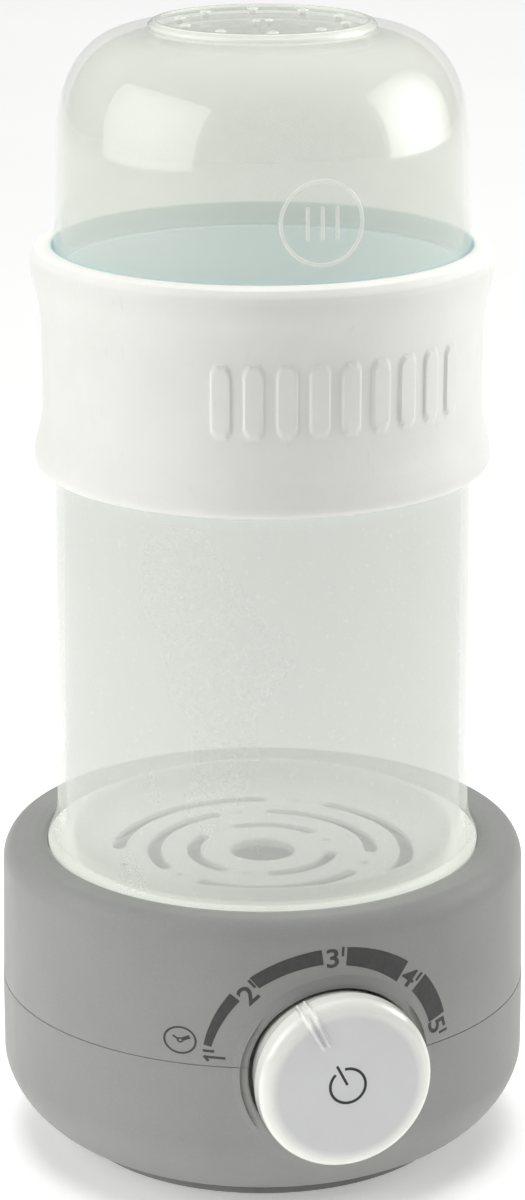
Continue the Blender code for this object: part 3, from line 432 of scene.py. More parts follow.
def smooth_step(value):
    value = np.clip(value, 0, 1)
    return value * value * (3 - 2 * value)


def capsule(across, along, half_length, radius):
    """Distance outside an upright capsule, negative inside it."""
    past = np.maximum(np.abs(along) - (half_length - radius), 0)
    return np.hypot(across, past) - radius


# Mesh helpers


def mesh_object(name, bm, look, smooth_angle=38):
    """Makes an object from a bmesh in millimetres."""
    bmesh.ops.remove_doubles(bm, verts=bm.verts, dist=1e-4)
    bmesh.ops.recalc_face_normals(bm, faces=bm.faces)
    bmesh.ops.scale(bm, vec=(MM, MM, MM), verts=bm.verts)
    mesh = bpy.data.meshes.new(name)
    bm.to_mesh(mesh)
    bm.free()
    mesh.shade_smooth()
    mesh.set_sharp_from_angle(angle=math.radians(smooth_angle))
    obj = bpy.data.objects.new(name, mesh)
    if look:
        mesh.materials.append(look)
    bpy.context.scene.collection.objects.link(obj)
    return obj


def belongs(obj, body, slot, *replaced):
    """Puts a finished piece on its body and hides the CAD nodes that it stands for; its slot argument is not
    used.
    """
    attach(obj, body)
    if replaced:
        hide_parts(*replaced)
    return obj


def bridge(bm, near, far):
    """Joins two closed rings of vertices with faces."""
    for k in range(len(near)):
        after = (k + 1) % len(near)
        bm.faces.new((near[k], near[after], far[after], far[k]))


def turned_bmesh(outline, angles, closed=True, relief=None):
    """Turns a (radius, z) outline about Z. A relief gives the height added along the outline's normal."""
    rows = np.array(outline, float)
    turn = np.radians(np.asarray(angles, float))[None, :]
    radius, z = rows[:, :1], rows[:, 1:]
    if relief:
        if closed:
            tangent = np.roll(rows, -1, 0) - np.roll(rows, 1, 0)
        else:
            tangent = np.gradient(rows, axis=0)
        tangent /= np.maximum(np.linalg.norm(tangent, axis=1, keepdims=True), 1e-9)
        height = relief(radius, z, np.asarray(angles, float)[None, :])
        radius = radius + tangent[:, 1:] * height
        z = z - tangent[:, :1] * height
    radius, z = np.broadcast_arrays(radius + 0 * turn, z + 0 * turn)
    places = np.stack([radius * np.cos(turn), radius * np.sin(turn), z], -1)
    bm = bmesh.new()
    grid = [[bm.verts.new(place) for place in row] for row in places]
    for near, far in zip(grid, grid[1:] + (grid[:1] if closed else [])):
        bridge(bm, near, far)
    return bm


def loft_bmesh(loops):
    """Closed solid through equal-length loops of 3-D points."""
    bm = bmesh.new()
    rings = [[bm.verts.new(point) for point in loop] for loop in loops]
    for near, far in zip(rings, rings[1:]):
        bridge(bm, near, far)
    bm.faces.new(rings[0])
    bm.faces.new(rings[-1])
    return bm


def round_loop(radius, z, count, centre=(0.0, 0.0)):
    steps = [2 * math.pi * k / count for k in range(count)]
    return [(centre[0] + radius * math.cos(turn), centre[1] + radius * math.sin(turn), z) for turn in steps]


def rod_bmesh(radius, start, end, count=48, centre=(0.0, 0.0)):
    return loft_bmesh([round_loop(radius, start, count, centre), round_loop(radius, end, count, centre)])


def joined(pieces):
    """One bmesh made of several."""
    whole = bmesh.new()
    for piece in pieces:
        mesh = bpy.data.meshes.new("piece")
        piece.to_mesh(mesh)
        piece.free()
        whole.from_mesh(mesh)
        bpy.data.meshes.remove(mesh)
    return whole


def carve(obj, *steps):
    """Applies (operation, bmesh) Booleans to the object and keeps the result as its mesh."""
    tools = []
    for count, (operation, bm) in enumerate(steps):
        tool = mesh_object(f"{obj.name}_tool_{count}", bm, None)
        modifier = obj.modifiers.new(operation, "BOOLEAN")
        modifier.operation = operation
        modifier.solver = "EXACT"
        modifier.object = tool
        tools.append(tool)
    depsgraph = bpy.context.evaluated_depsgraph_get()
    mesh = bpy.data.meshes.new_from_object(obj.evaluated_get(depsgraph), depsgraph=depsgraph)
    obj.modifiers.clear()
    look = obj.data.materials[0]
    obj.data = mesh
    mesh.materials.clear()
    mesh.materials.append(look)
    mesh.shade_smooth()
    mesh.set_sharp_from_angle(angle=math.radians(38))
    for tool in tools:
        bpy.data.objects.remove(tool, do_unlink=True)
    return obj


# Base


def wall_radius(z):
    """Radius of the base's outer wall at a height."""
    if z >= SEAM_Z:
        part = (z - SEAM_Z) / (TOP_CORNER_Z - SEAM_Z)
        return BASE_R + (BASE_TOP_R - BASE_R) * part
    if z >= LOWER_CORNER_Z:
        return LOWER_R
    part = min(1.0, (LOWER_CORNER_Z - z) / (LOWER_CORNER_Z - BOTTOM_EDGE_Z))
    return BOTTOM_EDGE_R + (LOWER_R - BOTTOM_EDGE_R) * (1 - part**LOWER_POWER) ** (1 / LOWER_POWER)


def on_wall(x, z, proud=0.0):
    """Point on the base's wall in front of (x, z), or proud of it."""
    return Vector((x, -math.sqrt((wall_radius(z) + proud) ** 2 - x * x), z))


def from_knob(radius, clockwise):
    """X and Z at a radius from the knob's axis, in degrees clockwise from straight up."""
    turn = math.radians(clockwise)
    return radius * math.sin(turn), KNOB_Z + radius * math.cos(turn)


def from_knob_turned(clockwise, radius, tilt, across, outward):
    """Wall place (x, z) of a point in a small drawing that is set at a polar place and turned by tilt."""
    x, z = from_knob(radius, clockwise)
    turn = math.radians(clockwise + tilt)
    return (x + across * math.cos(turn) + outward * math.sin(turn),
            z - across * math.sin(turn) + outward * math.cos(turn))


def pocket_bmesh():
    """The knob's recess: a bore whose mouth rounds over into the curved wall."""
    out, inward = POCKET_ROUND
    steps = 10
    rings = [(POCKET_R, None), (POCKET_R, inward + 0.6)]
    for step in range(steps + 1):
        turn = math.pi / 2 * step / steps
        rings.append((POCKET_R + out * (1 - math.cos(turn)), inward * (1 - math.sin(turn))))
    rings += [(POCKET_R + out + 0.8, -0.12)]
    loops = []
    for radius, depth in rings:
        loop = []
        for k in range(192):
            x, z = from_knob(radius, 360 * (k + 0.5) / 192)
            front = POCKET_FLOOR if depth is None else -on_wall(x, z).y - depth
            loop.append((x, -front, z))
        loops.append(loop)
    outside = [from_knob(POCKET_R + out + 2.5, 360 * (k + 0.5) / 192) for k in range(192)]
    loops.append([(x, -BASE_R - 6, z) for x, z in outside])
    return loft_bmesh(loops)


def half_cup_bmesh(upper):
    """Material behind the recess, on one side of the seam."""
    side = 1 if upper else -1
    edge_z = SEAM_Z + side * SEAM_LINE
    reach = math.asin((edge_z - KNOB_Z) / CUP_R)
    first, last = (reach, math.pi - reach) if upper else (reach, -math.pi - reach)
    turns = [first + (last - first) * k / 72 for k in range(73)]
    loops = []
    for front in (POCKET_FLOOR - WALL, BASE_R - 2.6):
        loops.append([(CUP_R * math.cos(turn), -front, KNOB_Z + CUP_R * math.sin(turn)) for turn in turns])
    return loft_bmesh(loops)


def bush_hole_bmesh():
    """Room for the encoder's bush in the recess's floor."""
    bm = rod_bmesh(BUSH_R + GAP, POCKET_FLOOR - WALL - 3, POCKET_FLOOR + 3)
    bm.transform(AT_KNOB)
    return bm


def top_shell(look):
    """The base's upper shell: wall, rounded shoulder, and the well that the chamber stands in."""
    edge_z = SEAM_Z + SEAM_LINE
    outline = [(BASE_R - WALL, edge_z), (BASE_R, edge_z, 0.12)]
    outline += corner((BASE_TOP_R, TOP_CORNER_Z), (TOP_R, TOP_Z), TOP_POWER, 16)
    outline += [(WELL_R + 3.0, TOP_Z - 0.2, 2.0), (WELL_R + 0.8, TOP_Z - 0.7, 1.0),
                (WELL_R, TOP_Z - 1.5, 0.6), (WELL_R, WELL_Z, 0.5),
                (WELL_THROAT_R, WELL_Z, 0.4), (WELL_THROAT_R, LEDGE_UNDER_Z, 0.3),
                (WELL_R + WALL, LEDGE_UNDER_Z), (WELL_R + WALL, TOP_Z - WALL), (TOP_R - 1, TOP_Z - WALL)]
    inner_corner = (BASE_TOP_R - WALL, TOP_CORNER_Z - 1)
    outline += corner(inner_corner, (TOP_R - 1, TOP_Z - WALL), TOP_POWER, 5)[-2:0:-1] + [inner_corner]
    shell = mesh_object("top_shell", turned_bmesh(dense(rounded(outline), 2.0), even_angles(240)), look)
    carve(shell, ("UNION", half_cup_bmesh(True)), ("DIFFERENCE", pocket_bmesh()),
          ("DIFFERENCE", bush_hole_bmesh()))
    belongs(shell, "base", "grey_shell", "upper_housing")


def bottom_shell(look):
    """The base's lower shell, whose lip stands inside the upper one, with the gland's hole at the back."""
    edge_z = SEAM_Z - SEAM_LINE
    lip_r, lip_top = BASE_R - WALL - GAP, SEAM_Z + 3
    wall_r, floor_z = lip_r - 1.5, BOTTOM_EDGE_Z + WALL
    outline = [(wall_r, lip_top, 0.3), (lip_r, lip_top, 0.3), (lip_r, edge_z, 0.2), (LOWER_R, edge_z, 0.12)]
    outline += corner((LOWER_R, LOWER_CORNER_Z), (BOTTOM_EDGE_R, BOTTOM_EDGE_Z), LOWER_POWER, 24)
    outline += [(BOTTOM_OPENING_R, BOTTOM_EDGE_Z, 0.3), (BOTTOM_OPENING_R, floor_z, 0.3)]
    outline += corner((wall_r, LOWER_CORNER_Z), (BOTTOM_EDGE_R - 0.5, floor_z), LOWER_POWER, 8)[::-1]
    shell = mesh_object("bottom_shell", turned_bmesh(dense(rounded(outline), 2.0), even_angles(240)), look)
    side, near, far = CUP_R + 2, -58.5, -BASE_R - 4
    seam_room = loft_bmesh([[(-side, near, z), (side, near, z), (side, far, z), (-side, far, z)]
                            for z in (edge_z + 0.01, lip_top + 2)])
    gland_hole = rod_bmesh(GLAND_FLANGE_R - 1.3, -BASE_R - 6, -BASE_R + 6)
    gland_hole.transform(Matrix.Translation((0, 0, GLAND_Z)) @ ALONG_Y)
    carve(shell, ("DIFFERENCE", seam_room), ("UNION", half_cup_bmesh(False)), ("DIFFERENCE", pocket_bmesh()),
          ("DIFFERENCE", bush_hole_bmesh()), ("DIFFERENCE", gland_hole))
    belongs(shell, "base", "grey_shell", "lower_housing")


def plinth(look):
    """Dark cover under the base, with screw and foot recesses, shallow slots and a groove near its edge."""
    bottom, top = low("bottom_cover").z, BOTTOM_EDGE_Z - GAP
    outline = rounded([(0, bottom), (PLINTH_R - 3.2, bottom), (PLINTH_R - 2.8, bottom + 0.3, 0.2),
                       (PLINTH_R - 2.2, bottom + 0.3, 0.2), (PLINTH_R - 1.8, bottom, 0.2),
                       (PLINTH_R, bottom, 0.6), (PLINTH_R, top, 0.3), (0, top)])
    cover = mesh_object("plinth_cover", turned_bmesh(outline, even_angles(144), closed=False), look)
    cuts = []
    for turn in range(0, 360, 90):
        levels = ((3.5, bottom - 1), (3.3, bottom + 0.2), (3.2, bottom + 0.6), (1.8, bottom + 1.6),
                  (1.8, top + 1))
        screw, foot = polar(SCREW_CIRCLE_R, turn), polar(FOOT_CIRCLE_R, turn + 45)
        cuts.append(loft_bmesh([round_loop(radius, z, 32, screw) for radius, z in levels]))
        cuts.append(rod_bmesh(FOOT_RECESS_R, bottom - 1, bottom + 0.8, 40, foot))
    for row in range(-4, 5):
        half = 11 - abs(row)
        cuts.append(loft_bmesh([[(x, row * 4.0 + y, z) for x, y in pill_loop(half, 0.8)]
                                for z in (bottom - 1, bottom + 0.5)]))
    carve(cover, ("DIFFERENCE", joined(cuts)))
    belongs(cover, "base", "dark_plastic", "bottom_cover")


def pill_loop(half_length, radius):
    """Outline of a flat bar with round ends, along X."""
    straight = half_length - radius
    loop = []
    for side in (1, -1):
        for step in range(9):
            turn = -90 + 180 * step / 8 + (0 if side > 0 else 180)
            loop.append(polar(radius, turn, (side * straight, 0)))
    return loop


def gland(look):
    """Rubber bush in the rear wall, with a rounded flange and a stepped bore."""
    face, bore, neck = LOWER_R + GAP, 3.3, 5.9
    outline = rounded([(bore, GLAND_NEAR, 0.3), (neck, GLAND_NEAR, 0.4), (neck, face),
                       (GLAND_FLANGE_R, face, 0.2), (GLAND_FLANGE_R, GLAND_FAR, 1.0),
                       (bore + 1.2, GLAND_FAR, 0.5),
                       (bore + 0.9, GLAND_FAR - 1.0, 0.3), (bore, GLAND_FAR - 1.4, 0.4)])
    bm = turned_bmesh(dense(outline, 1.0), even_angles(96))
    bm.transform(Matrix.Translation((0, 0, GLAND_Z)) @ Matrix.Rotation(math.radians(-90), 4, "X"))
    belongs(mesh_object("gland_bush", bm, look), "base", "black_rubber", "cord_gland")


def water_dish(look):
    """The heated metal dish, with a raised centre and a stepped rim."""
    under_rim = DISH_TOP_Z - 1.2
    floor = DISH_UNDER_Z + 1.2
    top = [(0, floor + 0.5)] + spline([(9, floor + 0.5), (11, floor + 0.35), (13, floor), (15, floor)], 4)
    top += rounded([(15, floor), (36.4, floor, 2.0), (40.6, floor + 2.6, 0.6), (41.2, floor + 2.6, 0.4),
                    (42.0, DISH_TOP_Z, 0.6), (DISH_R, DISH_TOP_Z, 0.3), (DISH_R, under_rim, 0.3),
                    (42.8, under_rim, 0.8), (38.6, DISH_UNDER_Z, 1.5), (0, DISH_UNDER_Z)])[1:]
    bm = turned_bmesh(dense(top, 2.5, False), even_angles(160), closed=False)
    belongs(mesh_object("water_dish", bm, look), "base", "steel", "heating_plate")


def dish_seal(look):
    """Silicone seal with two lips between the dish's rim and the ledge."""
    inner = 41.6
    outline = rounded([(inner, SEAL_LOW_Z, 0.3), (DISH_R, SEAL_LOW_Z, 0.4), (DISH_R, SEAL_TOP_Z - 0.2, 0.4),
                       ((inner + DISH_R) / 2, SEAL_TOP_Z - 0.5, 0.4), (inner + 1.0, SEAL_TOP_Z, 0.4),
                       (inner, SEAL_TOP_Z - 0.3, 0.4)])
    belongs(mesh_object("dish_seal", turned_bmesh(outline, even_angles(160)), look), "base", "white_silicone",
            "plate_seal")


# Dial print


def film(rows):
    """A thin print on the wall from rows of (x, z) points, with its edges sunk in the wall."""
    bm = bmesh.new()
    sheets = []
    for proud in (PRINT_THICK, -0.3):
        sheets.append([[bm.verts.new(on_wall(x, z, proud)) for x, z in row] for row in rows])
    for sheet in sheets:
        for near, far in zip(sheet, sheet[1:]):
            for k in range(len(near) - 1):
                bm.faces.new((near[k], near[k + 1], far[k + 1], far[k]))
    front, back = (sheet[0] + [row[-1] for row in sheet[1:]] + sheet[-1][-2::-1] +
                   [row[0] for row in sheet[-2:0:-1]] for sheet in sheets)
    bridge(bm, front, back)
    return bm


def stroke_rows(points, width, closed=False):
    """Two rows of (x, z) points on both sides of a line."""
    places = [Vector(point) for point in points]
    sides = []
    for k, place in enumerate(places):
        last = places[k - 1] if closed or k else place
        after = places[(k + 1) % len(places)] if closed or k + 1 < len(places) else place
        along = (after - last).normalized()
        sides.append(Vector((-along.y, along.x)) * width / 2)
    return [[tuple(place + side), tuple(place - side)] for place, side in zip(places, sides)]


def numeral_bmesh(text, size):
    """Flat digit with its centre at the origin, as a bmesh in millimetres, height along Y."""
    data = bpy.data.curves.new("numeral", "FONT")
    data.body = text
    data.size = 1.0
    data.offset = NUMERAL_BOLDNESS
    obj = bpy.data.objects.new("numeral", data)
    bpy.context.scene.collection.objects.link(obj)
    depsgraph = bpy.context.evaluated_depsgraph_get()
    mesh = bpy.data.meshes.new_from_object(obj.evaluated_get(depsgraph))
    bm = bmesh.new()
    bm.from_mesh(mesh)
    bpy.data.objects.remove(obj)
    bpy.data.meshes.remove(mesh)
    bmesh.ops.remove_doubles(bm, verts=bm.verts, dist=1e-5)
    places = np.array([vert.co for vert in bm.verts])
    middle = (places.min(0) + places.max(0)) / 2
    scale = size / (places[:, 1].max() - places[:, 1].min())
    for vert in bm.verts:
        vert.co = (vert.co - Vector(middle)) * scale
        vert.co.x *= NUMERAL_WIDENING
    return bm


def stamp_on_wall(bm, angle, radius):
    """Raises a flat bmesh to a thin solid and lays it on the wall, its top pointing away from the knob."""
    faces = list(bm.faces)
    made = bmesh.ops.extrude_face_region(bm, geom=faces)["geom"]
    raised = {item for item in made if isinstance(item, bmesh.types.BMVert)}
    right = Vector(from_knob(1, angle + 90)) - Vector((0, KNOB_Z))
    up = Vector(from_knob(1, angle)) - Vector((0, KNOB_Z))
    middle = Vector(from_knob(radius, angle))
    for vert in bm.verts:
        place = middle + right * vert.co.x + up * vert.co.y
        vert.co = on_wall(place.x, place.y, PRINT_THICK if vert in raised else -0.3)
    return bm


def dial_print(look):
    """Scale bands, minutes with their ticks, and a clock sign, printed on the base's wall."""
    bands = []
    for first, last in BANDS:
        rows = []
        steps = round((last[0] - first[0]) / 1.5)
        for step in range(steps + 1):
            angle, outer, inner = (near + (far - near) * step / steps for near, far in zip(first, last))
            rows.append([from_knob(inner + (outer - inner) * k / 4, angle) for k in range(5)])
        bands.append(film(rows))
    belongs(mesh_object("dial_bands", joined(bands), look), "base", "dark_plastic")

    digits = []
    for text, angle, radius in NUMERALS:
        digits.append(stamp_on_wall(numeral_bmesh(text, NUMERAL_HEIGHT), angle, radius))
        tick = [from_knob(radius + NUMERAL_HEIGHT * part, angle + TICK_ANGLE) for part in (0.05, 0.3, 0.55)]
        digits.append(film(stroke_rows(tick, NUMERAL_STROKE)))
    half = NUMERAL_HEIGHT / 2
    one = (((0, -half), (0, half)), ((0.25, half), (-1.0, half - 1.0)), ((1.5, 0.1), (1.5, half + 0.2)))
    for line in one:
        places = [from_knob_turned(ONE_ANGLE, ONE_RADIUS, ONE_TILT, *place) for place in line]
        digits.append(film(stroke_rows(places, NUMERAL_STROKE)))
    belongs(mesh_object("dial_numerals", joined(digits), look), "base", "dark_plastic")

    x, z = CLOCK_PLACE
    circle = [polar(CLOCK_R, turn, CLOCK_PLACE) for turn in range(0, 361, 6)]
    hub = [polar(0.5, turn, CLOCK_PLACE) for turn in range(0, 361, 30)]
    short_hand = [(x - 0.5, z + 0.3), (x - 1.5, z + 0.95)]
    long_hand = [(x + 0.5, z + 0.3), (x + 2.0, z + 1.05)]
    lines = ((circle, CLOCK_STROKE), (hub, 0.35), (short_hand, CLOCK_STROKE), (long_hand, 0.85))
    parts = [film(stroke_rows(line, width)) for line, width in lines]
    belongs(mesh_object("dial_clock", joined(parts), look), "base", "dark_plastic")


# Knob


def knob_relief(radius, front, angles):
    """Height of the pointer: a rib with a groove along it, from the face over the edge and down the side."""
    off = np.radians(angles - POINTER_ANGLE)
    across = np.where(np.cos(off) > 0, radius * np.sin(off), 99.0)
    outward = np.clip((radius - POINTER_INNER_R) / (KNOB_R - POINTER_INNER_R), 0, 1)
    half_width = 1.25 + 0.55 * outward
    start = smooth_step((radius - POINTER_INNER_R) / 1.4)
    end = smooth_step((front - (KNOB_FRONT - KNOB_SIDE_DEPTH - 1.1)) / 1.4)
    body = 1 - smooth_step((np.abs(across) / half_width - 0.5) / 0.5)
    groove = 0.8 * np.exp(-((across / (0.36 * half_width)) ** 2))
    return (0.85 + 0.35 * outward) * start * end * np.maximum(body - groove, 0)


def knob(look):
    """The timer knob: faintly crowned face, rounded edge, side that narrows toward the recess, and inside it
    a hub with a groove round it, where the spring has room when the knob is pressed."""
    edge = []
    for step in range(19):
        turn = math.pi / 2 * step / 18
        edge.append((KNOB_FACE_R + (KNOB_R - KNOB_FACE_R) * math.sin(turn),
                     KNOB_FRONT - 0.1 - (KNOB_EDGE_DEPTH - 0.1) * (1 - math.cos(turn))))
    face = [(radius, KNOB_FRONT - 0.1 * (radius / KNOB_FACE_R) ** 4) for radius in np.linspace(0, 17, 41)]
    side = spline([(KNOB_R, KNOB_FRONT - KNOB_EDGE_DEPTH), (KNOB_R, KNOB_FRONT - KNOB_SIDE_DEPTH),
                   (KNOB_R - 0.5, KNOB_FRONT - 7.0), (KNOB_R - 1.3, KNOB_BACK + 0.6),
                   (KNOB_R - 1.5, KNOB_BACK)], 5)
    outer = dense(face + edge + side[1:], 0.45, False)
    web = KNOB_FRONT - 2.4
    hub_end, groove_floor, shaft_end = web - 8.0, web + 1.1, web + 0.9
    inner_r, hub_r, shaft_r = KNOB_R - 3.2, 5.0, 2.5
    inside = [(inner_r, KNOB_BACK), (inner_r, web - 2.2), (inner_r - 2, web - 0.3), (10.2, web),
              (9.9, groove_floor), (7.3, groove_floor), (7.0, web), (hub_r, web), (hub_r, hub_end),
              (shaft_r, hub_end), (shaft_r, shaft_end), (0, shaft_end)]
    profile = outer + inside
    relief_rows = np.arange(len(profile))[:, None] < len(outer)

    def relief(radius, front, turn):
        return np.where(relief_rows, -knob_relief(radius, front, turn), 0)

    angles = angles_with_detail(168, POINTER_ANGLE, 18, 0.3)
    bm = turned_bmesh(profile, angles, closed=False, relief=relief)
    bm.transform(AT_KNOB)
    belongs(mesh_object("timer_knob", bm, look), "dial_knob", "white_plastic", "knob")


def printed_on_face(loop):
    """Thin print with this outline on the knob's face, as a bmesh."""
    return loft_bmesh([[(x, y, KNOB_FRONT + depth) for x, y in loop] for depth in (-0.1, PRINT_THICK)])


def flat_stroke(points, width):
    """Square-ended stroke along points on the knob's face."""
    rows = stroke_rows(points, width)
    return printed_on_face([row[0] for row in rows] + [row[1] for row in rows[::-1]])


def rounded_line(start, end, width):
    """Straight stroke with round ends on the knob's face."""
    start, end = Vector(start), Vector(end)
    along = (end - start).normalized()
    across = Vector((-along.y, along.x))
    loop = []
    for middle, side in ((end, 1), (start, -1)):
        for step in range(9):
            turn = math.radians(90 - 180 * step / 8)
            loop.append(middle + (along * math.cos(turn) * side + across * math.sin(turn) * side) * width / 2)
    return printed_on_face(loop)


def power_icon(look):
    """A ring with a gap and a bar, in line with the pointer."""
    gap = 17
    ring = [polar(ICON_R, POINTER_ANGLE + gap + (360 - 2 * gap) * step / 72) for step in range(73)]
    bar_start, bar_end = polar(0.5, POINTER_ANGLE), polar(ICON_R + 1.3, POINTER_ANGLE)
    bm = joined([flat_stroke(ring, 0.66), rounded_line(bar_start, bar_end, 0.62)])
    bm.transform(AT_KNOB)
    belongs(mesh_object("power_icon", bm, look), "dial_knob", "dark_plastic")


# Chamber, ring, tray and lid


def tube_radius(z):
    """Radius of the chamber's outside at a height above its flare."""
    part = (z - FLARE_TOP_Z) / (TUBE_TOP_Z - FLARE_TOP_Z)
    return TUBE_R + (TUBE_TOP_R - TUBE_R) * part


def steam_chamber(look, foot_look):
    """The tube, and its thick foot that stands in the base."""
    split = FOOT_TOP_Z
    flare = spline([(SKIRT_R + 0.15, split), (SKIRT_R + 0.2, 75.6), (SKIRT_R, 76.3), (SKIRT_R - 0.5, 76.9),
                    (SKIRT_R - 0.9, 77.4), (SKIRT_R - 1.0, 78.4), (50.7, 80.6), (50.2, 84.0),
                    (TUBE_R, FLARE_TOP_Z)], 5)
    points = flare + [(TUBE_TOP_R, TUBE_TOP_Z, 0.7), (46.7, TUBE_TOP_Z, 0.7), (TUBE_INNER_R, FLARE_TOP_Z),
                      (TUBE_INNER_R, split)]
    tube = mesh_object("steam_chamber", turned_bmesh(dense(rounded(points), 3.0), even_angles(200)), look)
    belongs(tube, "chamber", "frosted_plastic", "chamber_tube")
    shelf_r, shelf_z = 41.0, 69.4
    foot = [(51.2, TUBE_LOW_Z, 0.5), (SKIRT_R - 0.15, TUBE_LOW_Z + 1.4, 0.5), (SKIRT_R + 0.15, split),
            (TUBE_INNER_R, split), (TUBE_INNER_R, shelf_z, 1.2), (shelf_r, shelf_z, 0.4),
            (shelf_r, TUBE_LOW_Z, 0.4)]
    bm = turned_bmesh(dense(rounded(foot), 3.0), even_angles(200))
    belongs(mesh_object("chamber_foot", bm, foot_look), "chamber", "frosted_plastic")


def grip_relief(radius, z, angles):
    """A row of upright ribs on the ring's waist."""
    height = np.zeros(np.broadcast(radius, z, angles).shape)
    for count in range(GRIP_COUNT):
        middle = FRONT + GRIP_MIDDLE + (count - (GRIP_COUNT - 1) / 2) * GRIP_PITCH
        across = WAIST_R * np.radians(angles - middle)
        distance = capsule(across, z - GRIP_Z, GRIP_HALF_HEIGHT, GRIP_HALF_WIDTH)
        height = np.maximum(height, GRIP_HEIGHT * smooth_step(-distance / 0.55))
    return np.where(radius > WAIST_R - 1, height, 0)


def grip_sleeve(look):
    """The ring: a waisted sleeve with flared ends, stepped inside for the tube and the lid."""
    bottom, top = RING_LOW_Z, RING_TOP_Z
    lid_room = LID_LOW_R + GAP
    outer = spline([(53.7, bottom + 1.3), (54.0, bottom + 2.6), (53.95, bottom + 4.4), (53.3, bottom + 7.6),
                    (52.4, bottom + 11.0), (WAIST_R, bottom + 15.5), (WAIST_R, top - 24), (52.2, top - 17),
                    (53.0, top - 11.5), (54.1, top - 7.2), (RING_TOP_R, top - 4.2), (54.3, top - 2.2)], 8)
    step_z = TUBE_TOP_Z - 0.4
    points = [(52.6, bottom, 0.6)] + outer
    points += [(53.3, top - 0.5, 0.8), (51.4, top, 0.8), (lid_room, top, 0.5), (lid_room, step_z, 0.2),
               (tube_radius(step_z) + GAP, step_z, 0.2), (tube_radius(bottom) + GAP, bottom, 0.3)]
    angles = angles_with_detail(160, FRONT + GRIP_MIDDLE, 40, 0.35)
    bm = turned_bmesh(dense(rounded(points), 0.9), angles, relief=grip_relief)
    belongs(mesh_object("grip_sleeve", bm, look), "chamber", "white_silicone", "grip_ring")


# Slots and drain holes of the tray, in degrees from +X, from the inner circle to the outer
SLOT_WIDTH = 3.2
SLOT_RADII = (18.5, 28.2, 37.0)
SLOT_SPANS = (((-102, -21), (25, 100), (130, 224)), ((-142, -49), (-21, 72), (97, 195)),
              ((-172, -79), (-48, 48), (72, 164)))
DRAIN_ANGLES = ((6, 115, 241), (-37, 86, 205), (-63, 60, 182))


def slot_loop(outer_radius, first, last, grow, z):
    """Outline of a curved slot with round ends, wider by grow on every side."""
    middle = outer_radius - SLOT_WIDTH / 2
    half = SLOT_WIDTH / 2 + grow
    end_turn = math.degrees(SLOT_WIDTH / 2 / middle)
    first, last = first + end_turn, last - end_turn
    loop = []
    for radius, near, far, side in ((middle + half, first, last, 1), (middle - half, last, first, -1)):
        for step in range(25):
            loop.append((*polar(radius, near + (far - near) * step / 24), z))
        for step in range(1, 8):
            turn = far + (0 if side > 0 else 180) + 180 * step / 8
            loop.append((*polar(half, turn, polar(middle, far)), z))
    return loop


def steam_tray(look):
    """The slotted grid, with a collar round its centre hole and a raised rim."""
    top = 71.1
    under = top - 1.4
    outline = [(7.8, top, 1.0), (7.8, under - 1.2, 0.3), (9.2, under - 1.2, 0.3), (9.2, under, 0.3),
               (43.1, under, 0.8), (46.0, TRAY_TOP_Z - 5.5, 1.0), (TRAY_R, TRAY_TOP_Z, 0.5),
               (45.0, TRAY_TOP_Z, 0.5),
               (44.4, TRAY_TOP_Z - 4.6, 1.0), (41.9, top, 1.5)]
    tray = mesh_object("steam_tray", turned_bmesh(dense(rounded(outline), 2.0), even_angles(180)), look)
    cuts = []
    slot_levels = ((0, under - 3), (0, top - 0.4), (0.12, top - 0.12), (0.45, top + 0.05), (1.4, top + 1.0))
    drain_levels = ((1.0, under - 3), (1.0, top - 0.35), (1.15, top - 0.1), (1.5, top + 0.05),
                    (2.4, top + 1.0))
    for outer_radius, spans, drains in zip(SLOT_RADII, SLOT_SPANS, DRAIN_ANGLES):
        for first, last in spans:
            cuts.append(loft_bmesh([slot_loop(outer_radius, first, last, *level) for level in slot_levels]))
        for angle in drains:
            centre = polar(outer_radius - SLOT_WIDTH / 2, angle)
            cuts.append(loft_bmesh([round_loop(radius, z, 24, centre) for radius, z in drain_levels]))
    carve(tray, ("DIFFERENCE", joined(cuts)))
    belongs(tray, "grid", "white_plastic", "steam_grid")


def dome_outline():
    """Outside of the lid from its rim to the top of its plateau."""
    top = LID_TOP_Z
    wall = corner((DOME_WALL_R, DOME_WALL_Z), PLATEAU_FOOT, DOME_POWER, 40)
    return wall + [(26.7, 273.0, 0.3), (25.9, 274.2, 0.7), (24.6, top, 0.6), (23.9, top, 0.4),
                   (23.5, top - 0.35, 0.3), (0, top - 0.35)]


def dome_radius(z):
    """Radius of the lid's outside wall at a height."""
    wall = [(LID_LOW_R, LID_LOW_Z)] + corner((DOME_WALL_R, DOME_WALL_Z), PLATEAU_FOOT, DOME_POWER, 40)
    for (r0, z0), (r1, z1) in zip(wall, wall[1:]):
        if z <= z1:
            return r0 + (r1 - r0) * (z - z0) / (z1 - z0)
    return wall[-1][0]


